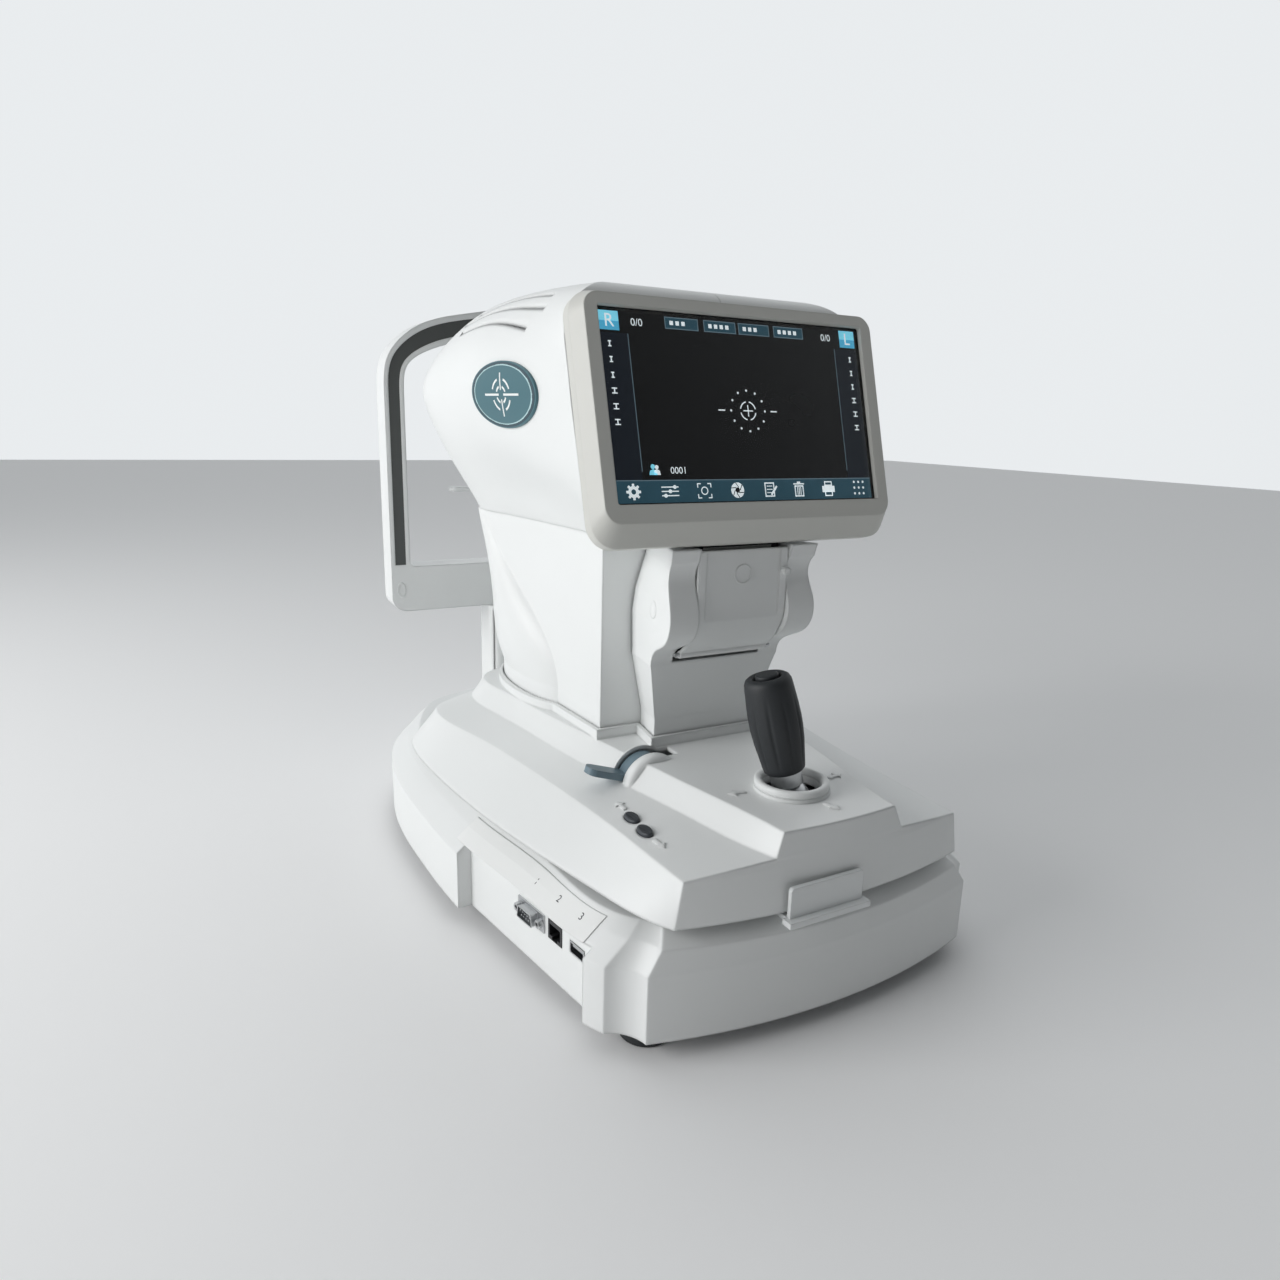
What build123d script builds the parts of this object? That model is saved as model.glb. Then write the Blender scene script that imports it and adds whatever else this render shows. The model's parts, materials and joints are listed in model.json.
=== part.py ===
from build123d import *
import os
from math import cos, radians, sin

# Autorefractor: a desk-top eye-measuring instrument. The operator sits on the -Y side, the patient on
# the +Y side. A lower housing carries the face frame and chin rest; a sliding stage on top of it carries
# the joystick and, on a lift, the measuring head with its screen and printer.
#
# Every part is drawn in millimetres about the middle of the screen (x right, y towards the patient,
# z up). write() then moves it so that the origin is on the table under the middle of the machine.

# ---------------------------------------------------------------- driving dimensions
SCREEN_HEIGHT = 359.4          # middle of the screen above the table
HALF_DEPTH = 265.0             # half of the machine's length along Y
SCREEN_Y = -135.0              # middle of the screen from the middle of the machine
FLOOR = -SCREEN_HEIGHT
TILT = 16.1                    # screen leans back
WALL = 3.0                     # moulded housings
GAP = 0.4                      # between separate covers
RUN = 0.05                     # running fit of a shaft, on the radius

FOOT_H = 12.0
BASE_BOTTOM = FLOOR + FOOT_H
BROW_Z = -305.0                # lower edge of the base's sloping shoulder
EDGE_Z = -291.5
BASE_TOP = -284.0
FRONT_BASE_Y = -124.0
REAR_BASE_Y = 400.0

COVER_BOTTOM = -278.7          # stage cover
SHOULDER_Z = -250.7
SHELF_Z = -245.0
PLATEAU_Z = -230.5
COLLAR_TOP = -223.5

LCD_W, LCD_H = 196.6, 115.2
BEZEL_T = 19.5
OPTICAL_AXIS_Z = 20.0

NECK_TOP = -84.0
NECK_STRAIGHT = -212.0         # below this the neck is straight, so that it can sink into the collar
NECK_BOTTOM = -240.0

FRAME_Y = 377.0                # middle of the face frame
FRAME_DEPTH = 30.0
COLUMN_HALF = 50.0

STICK = (0.0, -68.0, -238.0)   # centre of the joystick's ball
STICK_LEAN_X, STICK_LEAN_Y = -6.7, -12.2

Y_ROD_X, Y_ROD_Z, ROD_R = 48.0, -276.4, 5.0
X_ROD_Y, X_ROD_Z = (4.0, 136.0), -262.4
LIFT_Y = 150.0
LIFT_X = 32.0


def write(name, shape):
    """Move one finished part to the machine's frame and write it as its own file."""
    placed = Pos(0, SCREEN_Y, SCREEN_HEIGHT) * shape
    placed.label = name
    export_step(placed, f"parts/{name}.step")


def box(x0, x1, y0, y1, z0, z1):
    centre = Pos((x0 + x1) / 2, (y0 + y1) / 2, (z0 + z1) / 2)
    return centre * Box(abs(x1 - x0), abs(y1 - y0), abs(z1 - z0))


def rod(start, axis, length, radius):
    """Round bar from a start point along one of the machine's axes."""
    return extrude(Plane(origin=start, z_dir=axis) * Circle(radius), length)


def tube(start, axis, length, outer, inner):
    return rod(start, axis, length, outer) - rod(start, axis, length, inner)


def group(parts):
    """Separate like solids, kept side by side in one node."""
    return Compound(children=list(parts))


def tilted(x=0.0, up=0.0, out=0.0):
    """Plane parallel to the screen: local y runs up the screen, local z out towards the operator."""
    rise = Vector(0, sin(radians(TILT)), cos(radians(TILT)))
    normal = Vector(0, -cos(radians(TILT)), sin(radians(TILT)))
    return Plane(origin=Vector(x, 0, 0) + rise * up + normal * out, x_dir=(1, 0, 0), z_dir=normal)


def rounded(plane, half_w, low, high, radius):
    """Rounded rectangle on a plane, from low to high along the plane's y."""
    middle = (low + high) / 2
    return plane * (Pos(0, middle) * RectangleRounded(2 * half_w, high - low, radius))


# ---------------------------------------------------------------- base
BASE_SIDE = [(146, -74), (160, 0), (173, 76), (178, 140), (179.5, 205), (174, 262), (158, 315),
             (130, 358), (95, 386)]


def base_outline(z, side=0.0, front=0.0):
    """Plan of the base at height z, pulled in by side and front. The front corners are scooped."""
    corner = (121.7 - side * 0.6, -107 + front)
    second = (139 - side, -88 + front * 0.5)
    flank = [(x - side * min(1, x / 120), y) for x, y in BASE_SIDE[:-1]]
    flank.append((BASE_SIDE[-1][0] - side * 0.8, BASE_SIDE[-1][1] - side * 0.6))
    rear_y = REAR_BASE_Y - side
    rear = (62.0, rear_y)
    hollow = ((corner[0] + second[0]) / 2 - 0.5, (corner[1] + second[1]) / 2 + 4.5)
    edges = [ThreePointArc((-corner[0], corner[1]), (0, FRONT_BASE_Y + front), corner)]
    edges.append(ThreePointArc(corner, hollow, second))
    edges.append(Spline([second] + flank + [rear]))
    edges.append(Line(rear, (-rear[0], rear_y)))
    edges.append(Spline([(-x, y) for x, y in [rear] + flank[::-1] + [second]]))
    mirrored_hollow = (-hollow[0], hollow[1])
    edges.append(ThreePointArc((-second[0], second[1]), mirrored_hollow, (-corner[0], corner[1])))
    return Pos(0, 0, z) * make_face(edges)


def base_body(inset, bottom, top_drop):
    """Outer form of the base: upright wall, sloping shoulder and flat top, pulled in by inset."""
    levels = [(BROW_Z - top_drop, inset, inset), (EDGE_Z - top_drop, 15 + inset, 1.5 + inset),
              (BASE_TOP - top_drop, 25 + inset, 11 + inset)]
    body = extrude(base_outline(bottom, inset, inset), levels[0][0] - bottom)
    for low, high in zip(levels, levels[1:]):
        body += loft([base_outline(*low), base_outline(*high)], ruled=True)
    return body


BAY_INNER = [(-139.5, -62), (-163, 76)]      # line of the connector wall
BAY_TOP = -300.0


def bay_prism(margin, top):
    """Space of the connector bay on the left side, open below and outwards."""
    (x0, y0), (x1, y1) = BAY_INNER
    slope = (x1 - x0) / (y1 - y0)
    low, high = -74 - margin, 76 + margin
    points = [(x0 + slope * (low - y0) + margin, low), (x0 + slope * (high - y0) + margin, high),
              (-200, high), (-200, low)]
    prism = extrude(make_face(Polyline(*points, close=True)), top + margin - BASE_BOTTOM + 4)
    return Pos(0, 0, BASE_BOTTOM - 4) * prism


def port_plane(along, z):
    """Plane on the connector wall, facing outwards; along runs from the front end of the wall."""
    (x0, y0), (x1, y1) = BAY_INNER
    run = Vector(x1 - x0, y1 - y0, 0).normalized()
    origin = Vector(x0, y0, z) + run * along
    return Plane(origin=origin, x_dir=-run, z_dir=Vector(-run.Y, run.X, 0))


PORT_Z = -313.5
SERIAL_AT, NETWORK_AT, USB_AT = 57.9, 30.8, 6.9
INLET_X, INLET_Z = 24.0, -318.0


def port_openings():
    cuts = port_plane(SERIAL_AT, PORT_Z) * Box(20.4, 11.4, 20)
    cuts += port_plane(NETWORK_AT, PORT_Z) * Box(15.4, 13.4, 20)
    cuts += port_plane(USB_AT, PORT_Z) * Box(15.4, 8.4, 20)
    cuts += box(INLET_X - 14.3, INLET_X + 14.3, REAR_BASE_Y - 12, REAR_BASE_Y + 5, INLET_Z - 10.3,
                INLET_Z + 10.3)
    cuts += box(-INLET_X - 10.8, -INLET_X + 10.8, REAR_BASE_Y - 12, REAR_BASE_Y + 5, INLET_Z - 7.3,
                INLET_Z + 7.3)
    return cuts


def base_housing():
    outer = base_body(0, BASE_BOTTOM, 0) - bay_prism(0, BAY_TOP)
    inner = base_body(WALL, BASE_BOTTOM, WALL) - bay_prism(WALL, BAY_TOP)
    return outer - inner - port_openings()


def bottom_plate():
    plate = extrude(base_outline(BASE_BOTTOM, WALL + GAP, WALL + GAP), 2)
    return plate - bay_prism(WALL + GAP, BAY_TOP)


LABEL_T = 1.2
FOOT_SPOTS = [(-108, -82), (108, -82), (-118, 330), (118, 330)]


def feet():
    blank = Cone(17, 15, FOOT_H, align=(Align.CENTER, Align.CENTER, Align.MIN))
    blank = fillet(blank.edges().sort_by(Axis.Z)[0], 2)
    hole = Cylinder(4.6, 6, align=(Align.CENTER, Align.CENTER, Align.MIN))
    return group([Pos(x, y, FLOOR) * (blank - hole) for x, y in FOOT_SPOTS])


def label_plate():
    """Thin plate that lies on the sloping shoulder above the connectors."""
    skin = base_body(-LABEL_T, BASE_BOTTOM, 0) - base_body(0, BASE_BOTTOM, 0)
    return skin & box(-200, -100, -68, 88, BAY_TOP + 0.6, BASE_TOP - 2.4)


def serial_port():
    flange = Box(30.8, 12.4, 1.0, align=(Align.CENTER, Align.CENTER, Align.MIN))
    shell = extrude(Trapezoid(18.5, 8.6, 80), 6.0)
    shell = fillet(shell.edges().filter_by(Axis.Z), 1.5)
    hollow = Pos(0, 0, 1.5) * extrude(Trapezoid(16.9, 7.2, 80), 5)
    body = Box(19.6, 10.6, 9.0, align=(Align.CENTER, Align.CENTER, Align.MAX))
    pins = Sketch() + [Pos(2.76 * (i - 2), 1.4) * Circle(0.5) for i in range(5)]
    pins += [Pos(2.76 * (i - 1.5), -1.4) * Circle(0.5) for i in range(4)]
    port = flange + shell - hollow + body + Pos(0, 0, 1.4) * extrude(pins, 4)
    for side in (-1, 1):
        port += Pos(side * 12.5, 0, 1) * extrude(RegularPolygon(2.9, 6), 3.5)
        port -= Pos(side * 12.5, 0, 1) * Cylinder(1.3, 9)
    return port_plane(SERIAL_AT, PORT_Z) * port


def network_port():
    body = Box(15, 13, 14, align=(Align.CENTER, Align.CENTER, Align.MAX))
    hollow = Box(11.8, 7.8, 11, align=(Align.CENTER, Align.CENTER, Align.MAX))
    latch = Pos(0, -4.6) * Box(6, 3, 11, align=(Align.CENTER, Align.CENTER, Align.MAX))
    port = Pos(0, 0, 0.4) * (body - hollow - latch)
    return port_plane(NETWORK_AT, PORT_Z) * port


def usb_port():
    shell = Box(14.6, 7.6, 14, align=(Align.CENTER, Align.CENTER, Align.MAX))
    hollow = Box(13.2, 6.2, 11, align=(Align.CENTER, Align.CENTER, Align.MAX))
    tongue = Pos(0, 1.4, -1) * Box(11, 1.8, 11, align=(Align.CENTER, Align.CENTER, Align.MAX))
    port = Pos(0, 0, 0.5) * (shell - hollow + tongue)
    return port_plane(USB_AT, PORT_Z) * port


def power_entry():
    """Mains inlet socket and the rocker switch's frame, moulded on one strip behind the rear wall."""
    centred = (Align.CENTER, Align.CENTER, Align.MAX)
    plane = Plane(origin=(INLET_X, REAR_BASE_Y, INLET_Z), x_dir=(-1, 0, 0), z_dir=(0, 1, 0))
    inlet = Box(28, 20, 22, align=centred) - Box(24, 16.4, 17, align=centred)
    pins = Sketch() + [Pos(*spot) * Rectangle(2, 4) for spot in [(-7, -2), (7, -2), (0, 2.5)]]
    inlet += Pos(0, 0, -17.5) * extrude(pins, 14)
    switch = Box(21, 14, 16, align=centred) - Box(17, 10.4, 12, align=centred)
    strip = Pos(INLET_X, 0, -5) * Box(2 * INLET_X - 18, 12, 3, align=centred)
    return plane * (inlet + Pos(2 * INLET_X, 0, 0) * switch + strip)


ROCKER_Y = REAR_BASE_Y - 4.8


def power_rocker():
    """Rocker key: two shallow faces that meet at a dull angle over the pivot."""
    profile = Polyline((-7.2, 1.6), (0, 2.6), (7.2, 4.6), (7.2, -1), (0, -4), (-7.2, -1), close=True)
    key = extrude(make_face(profile), 4.6, both=True) + Cylinder(1.3, 10.3)
    plane = Plane(origin=(-INLET_X, ROCKER_Y, INLET_Z), x_dir=(-1, 0, 0), z_dir=(0, 0, 1))
    return plane * Rot(0, 0, 180) * key


def power_supply():
    case = box(-20, 90, 250, 330, BASE_BOTTOM + 3, BASE_BOTTOM + 38)
    slots = [box(x, x + 3, 262, 318, BASE_BOTTOM + 36.5, BASE_BOTTOM + 40) for x in range(-8, 82, 8)]
    return case - group(slots)


def main_board():
    board = box(-110, 60, 20, 170, BASE_BOTTOM + 8, BASE_BOTTOM + 9.6)
    chips = [box(-90, -60, 40, 70, BASE_BOTTOM + 9.6, BASE_BOTTOM + 13),
             box(-40, -10, 60, 90, BASE_BOTTOM + 9.6, BASE_BOTTOM + 18),
             box(10, 50, 110, 150, BASE_BOTTOM + 9.6, BASE_BOTTOM + 15)]
    for chip in chips:
        board += chip
    return board


# ---------------------------------------------------------------- rails and carriage
Y_ROD_SPAN = (-52.0, 195.0)
BLOCK_T = 12.0


def depth_rods():
    start, end = Y_ROD_SPAN
    return group([rod((x, start, Y_ROD_Z), (0, 1, 0), end - start, ROD_R) for x in (-Y_ROD_X, Y_ROD_X)])


def rod_blocks():
    """Blocks that hold both ends of each depth rod on the top of the base."""
    blocks = []
    for x in (-Y_ROD_X, Y_ROD_X):
        for y in (Y_ROD_SPAN[0], Y_ROD_SPAN[1] - BLOCK_T):
            block = box(x - 8, x + 8, y, y + BLOCK_T, BASE_TOP, Y_ROD_Z + 6.5)
            blocks.append(block - rod((x, y - 1, Y_ROD_Z), (0, 1, 0), BLOCK_T + 2, ROD_R))
    return group(blocks)


BEARING_TOP = Y_ROD_Z + 7.0    # top of the lower bearings; the stage's hangers pass just above


def cross_carriage():
    """Plate that runs on the depth rods and carries the bearings of the cross rods."""
    plate = box(-56, 56, -10, 150, Y_ROD_Z + 5, BEARING_TOP)
    for x in (-Y_ROD_X, Y_ROD_X):
        for y in X_ROD_Y:
            plate += box(x - 7, x + 7, y - 14, y + 14, Y_ROD_Z - 6.4, BEARING_TOP)
            plate -= rod((x, y - 20, Y_ROD_Z), (0, 1, 0), 40, ROD_R + RUN)
    for y in X_ROD_Y:
        for x in (-33, 33):
            plate += box(x - 11, x + 11, y - 6.5, y + 6.5, BEARING_TOP, X_ROD_Z + 6)
            plate -= rod((x - 12, y, X_ROD_Z), (1, 0, 0), 24, ROD_R + RUN)
    return plate


def cross_rods():
    return group([rod((-98, y, X_ROD_Z), (1, 0, 0), 196, ROD_R) for y in X_ROD_Y])


STAGE_Z = X_ROD_Z + 6.3
STAGE_TOP = STAGE_Z + 2.7


def stage_plate():
    """Plate under the stage cover: it hangs on the cross rods and carries the lift."""
    plate = box(-92, 92, -60, 235, STAGE_Z, STAGE_Z + 2.7)
    for y in X_ROD_Y:
        for x in (-95, 95):
            plate += box(x - 4, x + 4, y - 7, y + 7, X_ROD_Z - 6.5, STAGE_Z + 2.7)
            plate -= rod((x - 5, y, X_ROD_Z), (1, 0, 0), 10, ROD_R)
    plate -= box(HOOD_X - 12, HOOD_X + 12, HOOD_Y[0] + 6, HOOD_Y[1] - 2, STAGE_Z - 1, STAGE_Z + 4)
    return plate


# ---------------------------------------------------------------- stage cover
SKIRT_SIDE = [(117, -90), (126.5, -57), (144.4, 18), (158, 93), (165, 160), (166, 215), (157, 250)]
SHOULDER_SIDE = [(103.5, -90), (105.5, -50), (111.5, 18), (121.5, 93), (134, 160), (144, 208), (140, 236)]
SHELF_SIDE = [(56, -90), (64, -50), (79, 18), (93, 93), (102, 160), (110, 208), (108, 240)]
RIDGE_SIDE = [(45, -90), (53, -50), (68, 30), (81, 103), (90, 160), (96, 200), (97, 240)]
COVER_FRONT = [(107, -108.8, -121.9), (102.3, -108.5, -120), (47, -117.5, -119.6), (41.5, -115.8, -118.2)]
COVER_REAR = [(120, 264, 288), (112, 253, 285), (82, 262, 284), (74, 262, 283)]


def cover_outline(level, z, inset=0.0):
    side = [SKIRT_SIDE, SHOULDER_SIDE, SHELF_SIDE, RIDGE_SIDE][level]
    front_x, front_y, front_mid = COVER_FRONT[level]
    rear_x, rear_y, rear_mid = COVER_REAR[level]
    front = (front_x - inset, front_y + inset)
    rear = (rear_x - inset, rear_y - inset)
    flank = [(x - inset, y) for x, y in side]
    edges = [ThreePointArc((-front[0], front[1]), (0, front_mid + inset), front)]
    edges.append(Spline([front] + flank + [rear]))
    edges.append(ThreePointArc(rear, (0, rear_mid - inset), (-rear[0], rear[1])))
    edges.append(Spline([(-x, y) for x, y in [rear] + flank[::-1] + [front]]))
    return Pos(0, 0, z) * make_face(edges)


def cover_body(inset=0.0):
    heights = [COVER_BOTTOM - (1 if inset else 0), SHOULDER_Z - inset, SHELF_Z - inset, PLATEAU_Z - inset]
    outlines = [cover_outline(level, z, inset) for level, z in enumerate(heights)]
    body = loft(outlines[:2], ruled=True)
    for low, high in zip(outlines[1:], outlines[2:]):
        body += loft([low, high], ruled=True)
    return body


HOOD_Y = (4.0, 31.5)
HOOD_X, HOOD_Z, HOOD_R = -56.0, -248.5, 22.0
LEVER_Y = (13.2, 26.6)
BUTTON_SPOTS = [(-92.8, -30.2), (-94.1, -49.4)]
BUTTON_A, BUTTON_B = 4.0, 7.2


NECK_FRONT = [(-37.0, 63.6), (-42.0, 34.0)]    # left side of the front block's plan at the foot


def foot_outline(margin=0.0):
    """Plan of the neck and its front block where they enter the stage cover."""
    (rear_x, rear_y), (front_x, front_y) = NECK_FRONT
    left = [(rear_x - margin, rear_y + 2), (front_x - margin, front_y - margin)]
    right = [(-x, y) for x, y in left[::-1]]
    block = make_face(Polyline(*left, *right, close=True))
    return neck_outline(shifted(NECK_ROWS[1], 0), -margin) + block


def hood():
    """Arched hood over the lock lever, with the slot that the lever swings in."""
    arch = rod((HOOD_X, HOOD_Y[0], HOOD_Z), (0, 1, 0), HOOD_Y[1] - HOOD_Y[0], HOOD_R)
    arch = fillet(arch.edges().filter_by(GeomType.CIRCLE), 4)
    return split(arch, Plane.XY.offset(SHELF_Z - 2), keep=Keep.TOP)


def stage_cover():
    shell = cover_body() + hood()
    shell += Pos(0, 0, PLATEAU_Z - 2) * extrude(foot_outline(4.5), COLLAR_TOP - PLATEAU_Z + 2)
    shell += rod((STICK[0], STICK[1], PLATEAU_Z - 2), (0, 0, 1), 4.5, 24)
    shell -= cover_body(WALL)
    shell -= rod((HOOD_X, HOOD_Y[0] + 2.5, HOOD_Z), (0, 1, 0), HOOD_Y[1] - HOOD_Y[0] - 5, HOOD_R - 2.5)
    shell -= box(HOOD_X - 24, HOOD_X + 21, LEVER_Y[0] - 0.6, LEVER_Y[1] + 0.6, HOOD_Z + 3.7, HOOD_Z + 40)
    shell -= Pos(0, 0, STAGE_TOP) * extrude(foot_outline(1.2), 40)
    shell -= rod((STICK[0], STICK[1], PLATEAU_Z - 14), (0, 0, 1), 30, 19)
    for spot in BUTTON_SPOTS:
        shell -= button_place(spot) * extrude(Ellipse(BUTTON_A + 0.4, BUTTON_B + 0.4), 12, both=True)
    return shell


SHELF_SLOPE = 8.0
SHELF_AT_BUTTONS = -248.4


def button_place(spot):
    """Place on the sloping shelf, with z square to the surface."""
    return Pos(spot[0], spot[1], SHELF_AT_BUTTONS) * Rot(0, -SHELF_SLOPE, 0)


def chin_button(index):
    cap = Pos(0, 0, -3.0) * extrude(Ellipse(BUTTON_A, BUTTON_B), 4.6)
    cap = fillet(cap.edges().sort_by(Axis.Z)[-1], 1.2)
    return button_place(BUTTON_SPOTS[index]) * cap


def lever_wedge(low, high, radius):
    """Sector about the lever's axis between two angles, measured from +X towards +Z."""
    points = [(radius * cos(radians(a)), radius * sin(radians(a))) for a in (low, (low + high) / 2, high)]
    outline = Line((0, 0), points[0]) + ThreePointArc(*points) + Line(points[2], (0, 0))
    return make_face(outline)


LEVER_ANGLE = 161.5
LEVER_R, LEVER_REACH = 18.6, 47.4


def lock_lever():
    """Lever: hub, a quadrant that fills the hood's slot, and the finger tab."""
    width = LEVER_Y[1] - LEVER_Y[0]
    plane = Plane(origin=(HOOD_X, LEVER_Y[1], HOOD_Z), x_dir=(1, 0, 0), z_dir=(0, -1, 0))
    lever = extrude(lever_wedge(LEVER_ANGLE - 85, LEVER_ANGLE + 2, LEVER_R), width)
    lever += extrude(Circle(5.5), width)
    tab = Pos(LEVER_REACH - 15, 0, width / 2) * Box(30, 4.5, width)
    tab = fillet(tab.edges().filter_by(Axis.Y).sort_by(Axis.X)[-2:], 6.2)
    lever += Rot(0, 0, LEVER_ANGLE) * tab
    lever -= extrude(Circle(3.05), width)
    return plane * lever


def lever_bracket():
    """Pivot pin of the lever with the two cheeks that stand on the stage plate."""
    ends = (LEVER_Y[0] - 2.3, LEVER_Y[1] + 0.5)
    bracket = rod((HOOD_X, ends[0], HOOD_Z), (0, 1, 0), ends[1] - ends[0] + 1.8, 3.0)
    for y in ends:
        bracket += box(HOOD_X - 15, HOOD_X + 15, y, y + 1.8, STAGE_TOP, HOOD_Z + 5)
    return bracket


# ---------------------------------------------------------------- joystick
BALL_R, GIMBAL_R, SOCKET_R = 13.0, 15.0, 15.3
TRUNNION_R = 1.5


def stick_place():
    return Pos(*STICK) * Rot(STICK_LEAN_X, STICK_LEAN_Y, 0)


def joystick_socket():
    cup = rod((STICK[0], STICK[1], STAGE_TOP), (0, 0, 1), STICK[2] + 3 - STAGE_TOP, 18.6)
    bores = rod((STICK[0] - 20, STICK[1], STICK[2]), (1, 0, 0), 40, TRUNNION_R + RUN)
    return cup - Pos(*STICK) * Sphere(SOCKET_R) - bores


def joystick_ring():
    ring = tube((STICK[0], STICK[1], PLATEAU_Z + 2.5), (0, 0, 1), 4.5, 23.6, 18.8)
    return fillet(ring.edges().sort_by(Axis.Z)[-2:], 2)


def joystick_gimbal():
    """Ring round the ball: it turns on side trunnions and carries the ball's own fore-and-aft pins."""
    ring = (Sphere(GIMBAL_R) & Box(40, 40, 6)) + Rot(0, 90, 0) * Cylinder(TRUNNION_R, 36)
    ring -= Sphere(BALL_R + 0.3) + Rot(90, 0, 0) * Cylinder(TRUNNION_R + RUN, 36)
    return Pos(*STICK) * Rot(STICK_LEAN_X, 0, 0) * ring


def joystick_stem():
    """Ball with the metal stem that the grip turns on, and the collar under the grip."""
    stem = Sphere(BALL_R) + Rot(90, 0, 0) * Cylinder(TRUNNION_R, 29.6)
    stem += Cylinder(6, 70, align=(Align.CENTER, Align.CENTER, Align.MIN))
    stem += Pos(0, 0, 11.5) * Cylinder(10.2, 9.0, align=(Align.CENTER, Align.CENTER, Align.MIN))
    stem -= Pos(0, 0, 60) * Cylinder(3.2, 12, align=(Align.CENTER, Align.CENTER, Align.MIN))
    return stick_place() * stem


GRIP_LOW, GRIP_HIGH = 20.8, 83.0


def joystick_grip():
    """Waisted rubber grip with finger grooves round it."""
    profile = [(12.6, GRIP_LOW), (14.4, 30), (16.6, 47), (16.4, 60), (15.2, 72), (14.8, 79)]
    edges = [Line((6.1, GRIP_LOW), profile[0]), Spline(profile)]
    edges += [ThreePointArc(profile[-1], (13.9, 82), (11.5, GRIP_HIGH))]
    edges += [Polyline((11.5, GRIP_HIGH), (7.8, GRIP_HIGH), (7.8, 71.5), (6.1, 71.5), (6.1, GRIP_LOW))]
    return stick_place() * revolve(Plane.XZ * make_face(edges), Axis.Z)


def joystick_button():
    cap = Pos(0, 0, 76.5) * Cylinder(7.3, 8.0, align=(Align.CENTER, Align.CENTER, Align.MIN))
    cap = fillet(cap.edges().sort_by(Axis.Z)[-1], 1.5)
    plunger = Pos(0, 0, 66) * Cylinder(2.9, 11, align=(Align.CENTER, Align.CENTER, Align.MIN))
    return stick_place() * (cap + plunger)


# ---------------------------------------------------------------- lift
def lift_shafts():
    return group([rod((x, LIFT_Y, STAGE_TOP), (0, 0, 1), 150, 6.0) for x in (-LIFT_X, LIFT_X)])


BELT_Z = -236.0
BELT_W = 8.0
MOTOR_Y = LIFT_Y + 55
SCREW_PULLEY_R, MOTOR_PULLEY_R = 12.0, 8.0


def lift_screw():
    screw = rod((0, LIFT_Y, STAGE_TOP + 3), (0, 0, 1), 110, 5.0)
    screw += rod((0, LIFT_Y, STAGE_TOP + 0.2), (0, 0, 1), 3, 2.95)
    return screw + rod((0, LIFT_Y, BELT_Z), (0, 0, 1), BELT_W, SCREW_PULLEY_R)


def lift_motor():
    body = box(-21, 21, MOTOR_Y - 21, MOTOR_Y + 21, STAGE_TOP, BELT_Z - 0.5)
    return body + rod((0, MOTOR_Y, BELT_Z - 0.5), (0, 0, 1), BELT_W + 0.5, MOTOR_PULLEY_R)


def lift_belt():
    """Toothed belt from the motor's pulley to the lift screw's."""
    rings = []
    for thick in (0.3, 1.8):
        driven = Pos(0, LIFT_Y) * Circle(SCREW_PULLEY_R + thick)
        driving = Pos(0, MOTOR_Y) * Circle(MOTOR_PULLEY_R + thick)
        rings.append(make_hull(driven.edges() + driving.edges()))
    return Pos(0, 0, BELT_Z + 1) * extrude(rings[1] - rings[0], BELT_W - 2)


LIFT_PLATE_Z = -205.0


def lift_plate():
    """Head platform with the bushings that run on the lift shafts."""
    plate = box(-66, 66, 90, 235, LIFT_PLATE_Z, LIFT_PLATE_Z + 4)
    for x in (-LIFT_X, LIFT_X):
        plate += rod((x, LIFT_Y, LIFT_PLATE_Z), (0, 0, 1), 44, 10)
    plate -= rod((0, LIFT_Y, LIFT_PLATE_Z - 1), (0, 0, 1), 60, 13)
    for x in (-LIFT_X, LIFT_X):
        plate -= rod((x, LIFT_Y, LIFT_PLATE_Z - 1), (0, 0, 1), 60, 6.05)
    return plate


def lift_nut():
    nut = rod((0, LIFT_Y, LIFT_PLATE_Z + 4), (0, 0, 1), 14, 9)
    nut += rod((0, LIFT_Y, LIFT_PLATE_Z + 4), (0, 0, 1), 4, 17)
    return nut - rod((0, LIFT_Y, LIFT_PLATE_Z), (0, 0, 1), 30, 5.06)


# ---------------------------------------------------------------- head covers
# Rows of the pod: height, front y, half width at the front, (y, half width) along the flank, rear y.
POD_ROWS = [
    (-84, -5.2, 90, [(50, 77), (120, 82), (200, 93), (248, 94)], 270),
    (-72, -1.8, 104, [(50, 86), (120, 89), (200, 100), (252, 99)], 275),
    (-56, 2.8, 112, [(50, 99), (120, 99), (200, 109), (258, 107)], 284),
    (-36, 8.6, 113, [(55, 110), (120, 114), (200, 121), (268, 115)], 296),
    (-14, 15.0, 113, [(60, 116), (135, 126), (210, 131), (278, 123)], 308),
    (8, 21.3, 113, [(65, 119), (140, 131), (212, 135), (285, 127)], 314),
    (30, 27.7, 113, [(65, 118), (140, 130), (210, 132), (278, 121)], 310),
    (50, 33.4, 111, [(68, 112), (140, 121), (208, 121), (270, 104)], 300),
    (66, 38.0, 98, [(72, 101), (145, 107), (205, 104), (262, 85)], 288),
    (74.5, 58.0, 74, [(90, 84), (145, 90), (200, 86), (246, 66)], 268),
    (78.5, 84.0, 46, [(104, 56), (148, 64), (194, 60), (226, 44)], 244)]

# Rows of the neck: height, crease (x, y), half width near the rear, rear y.
NECK_ROWS = [
    (NECK_BOTTOM, (74, 130), 79, 268),
    (NECK_STRAIGHT, (74, 130), 79, 268),
    (-160, (81, 160), 88, 269),
    (-120, (89, 212), 93, 270),
    (NECK_TOP, (94.5, 240), 94, 270)]
NECK_CORNER = (-69.5, 64)
BEZEL_TOP = 60.0               # the pod is closed in front above this height, and open behind the bezel


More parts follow.
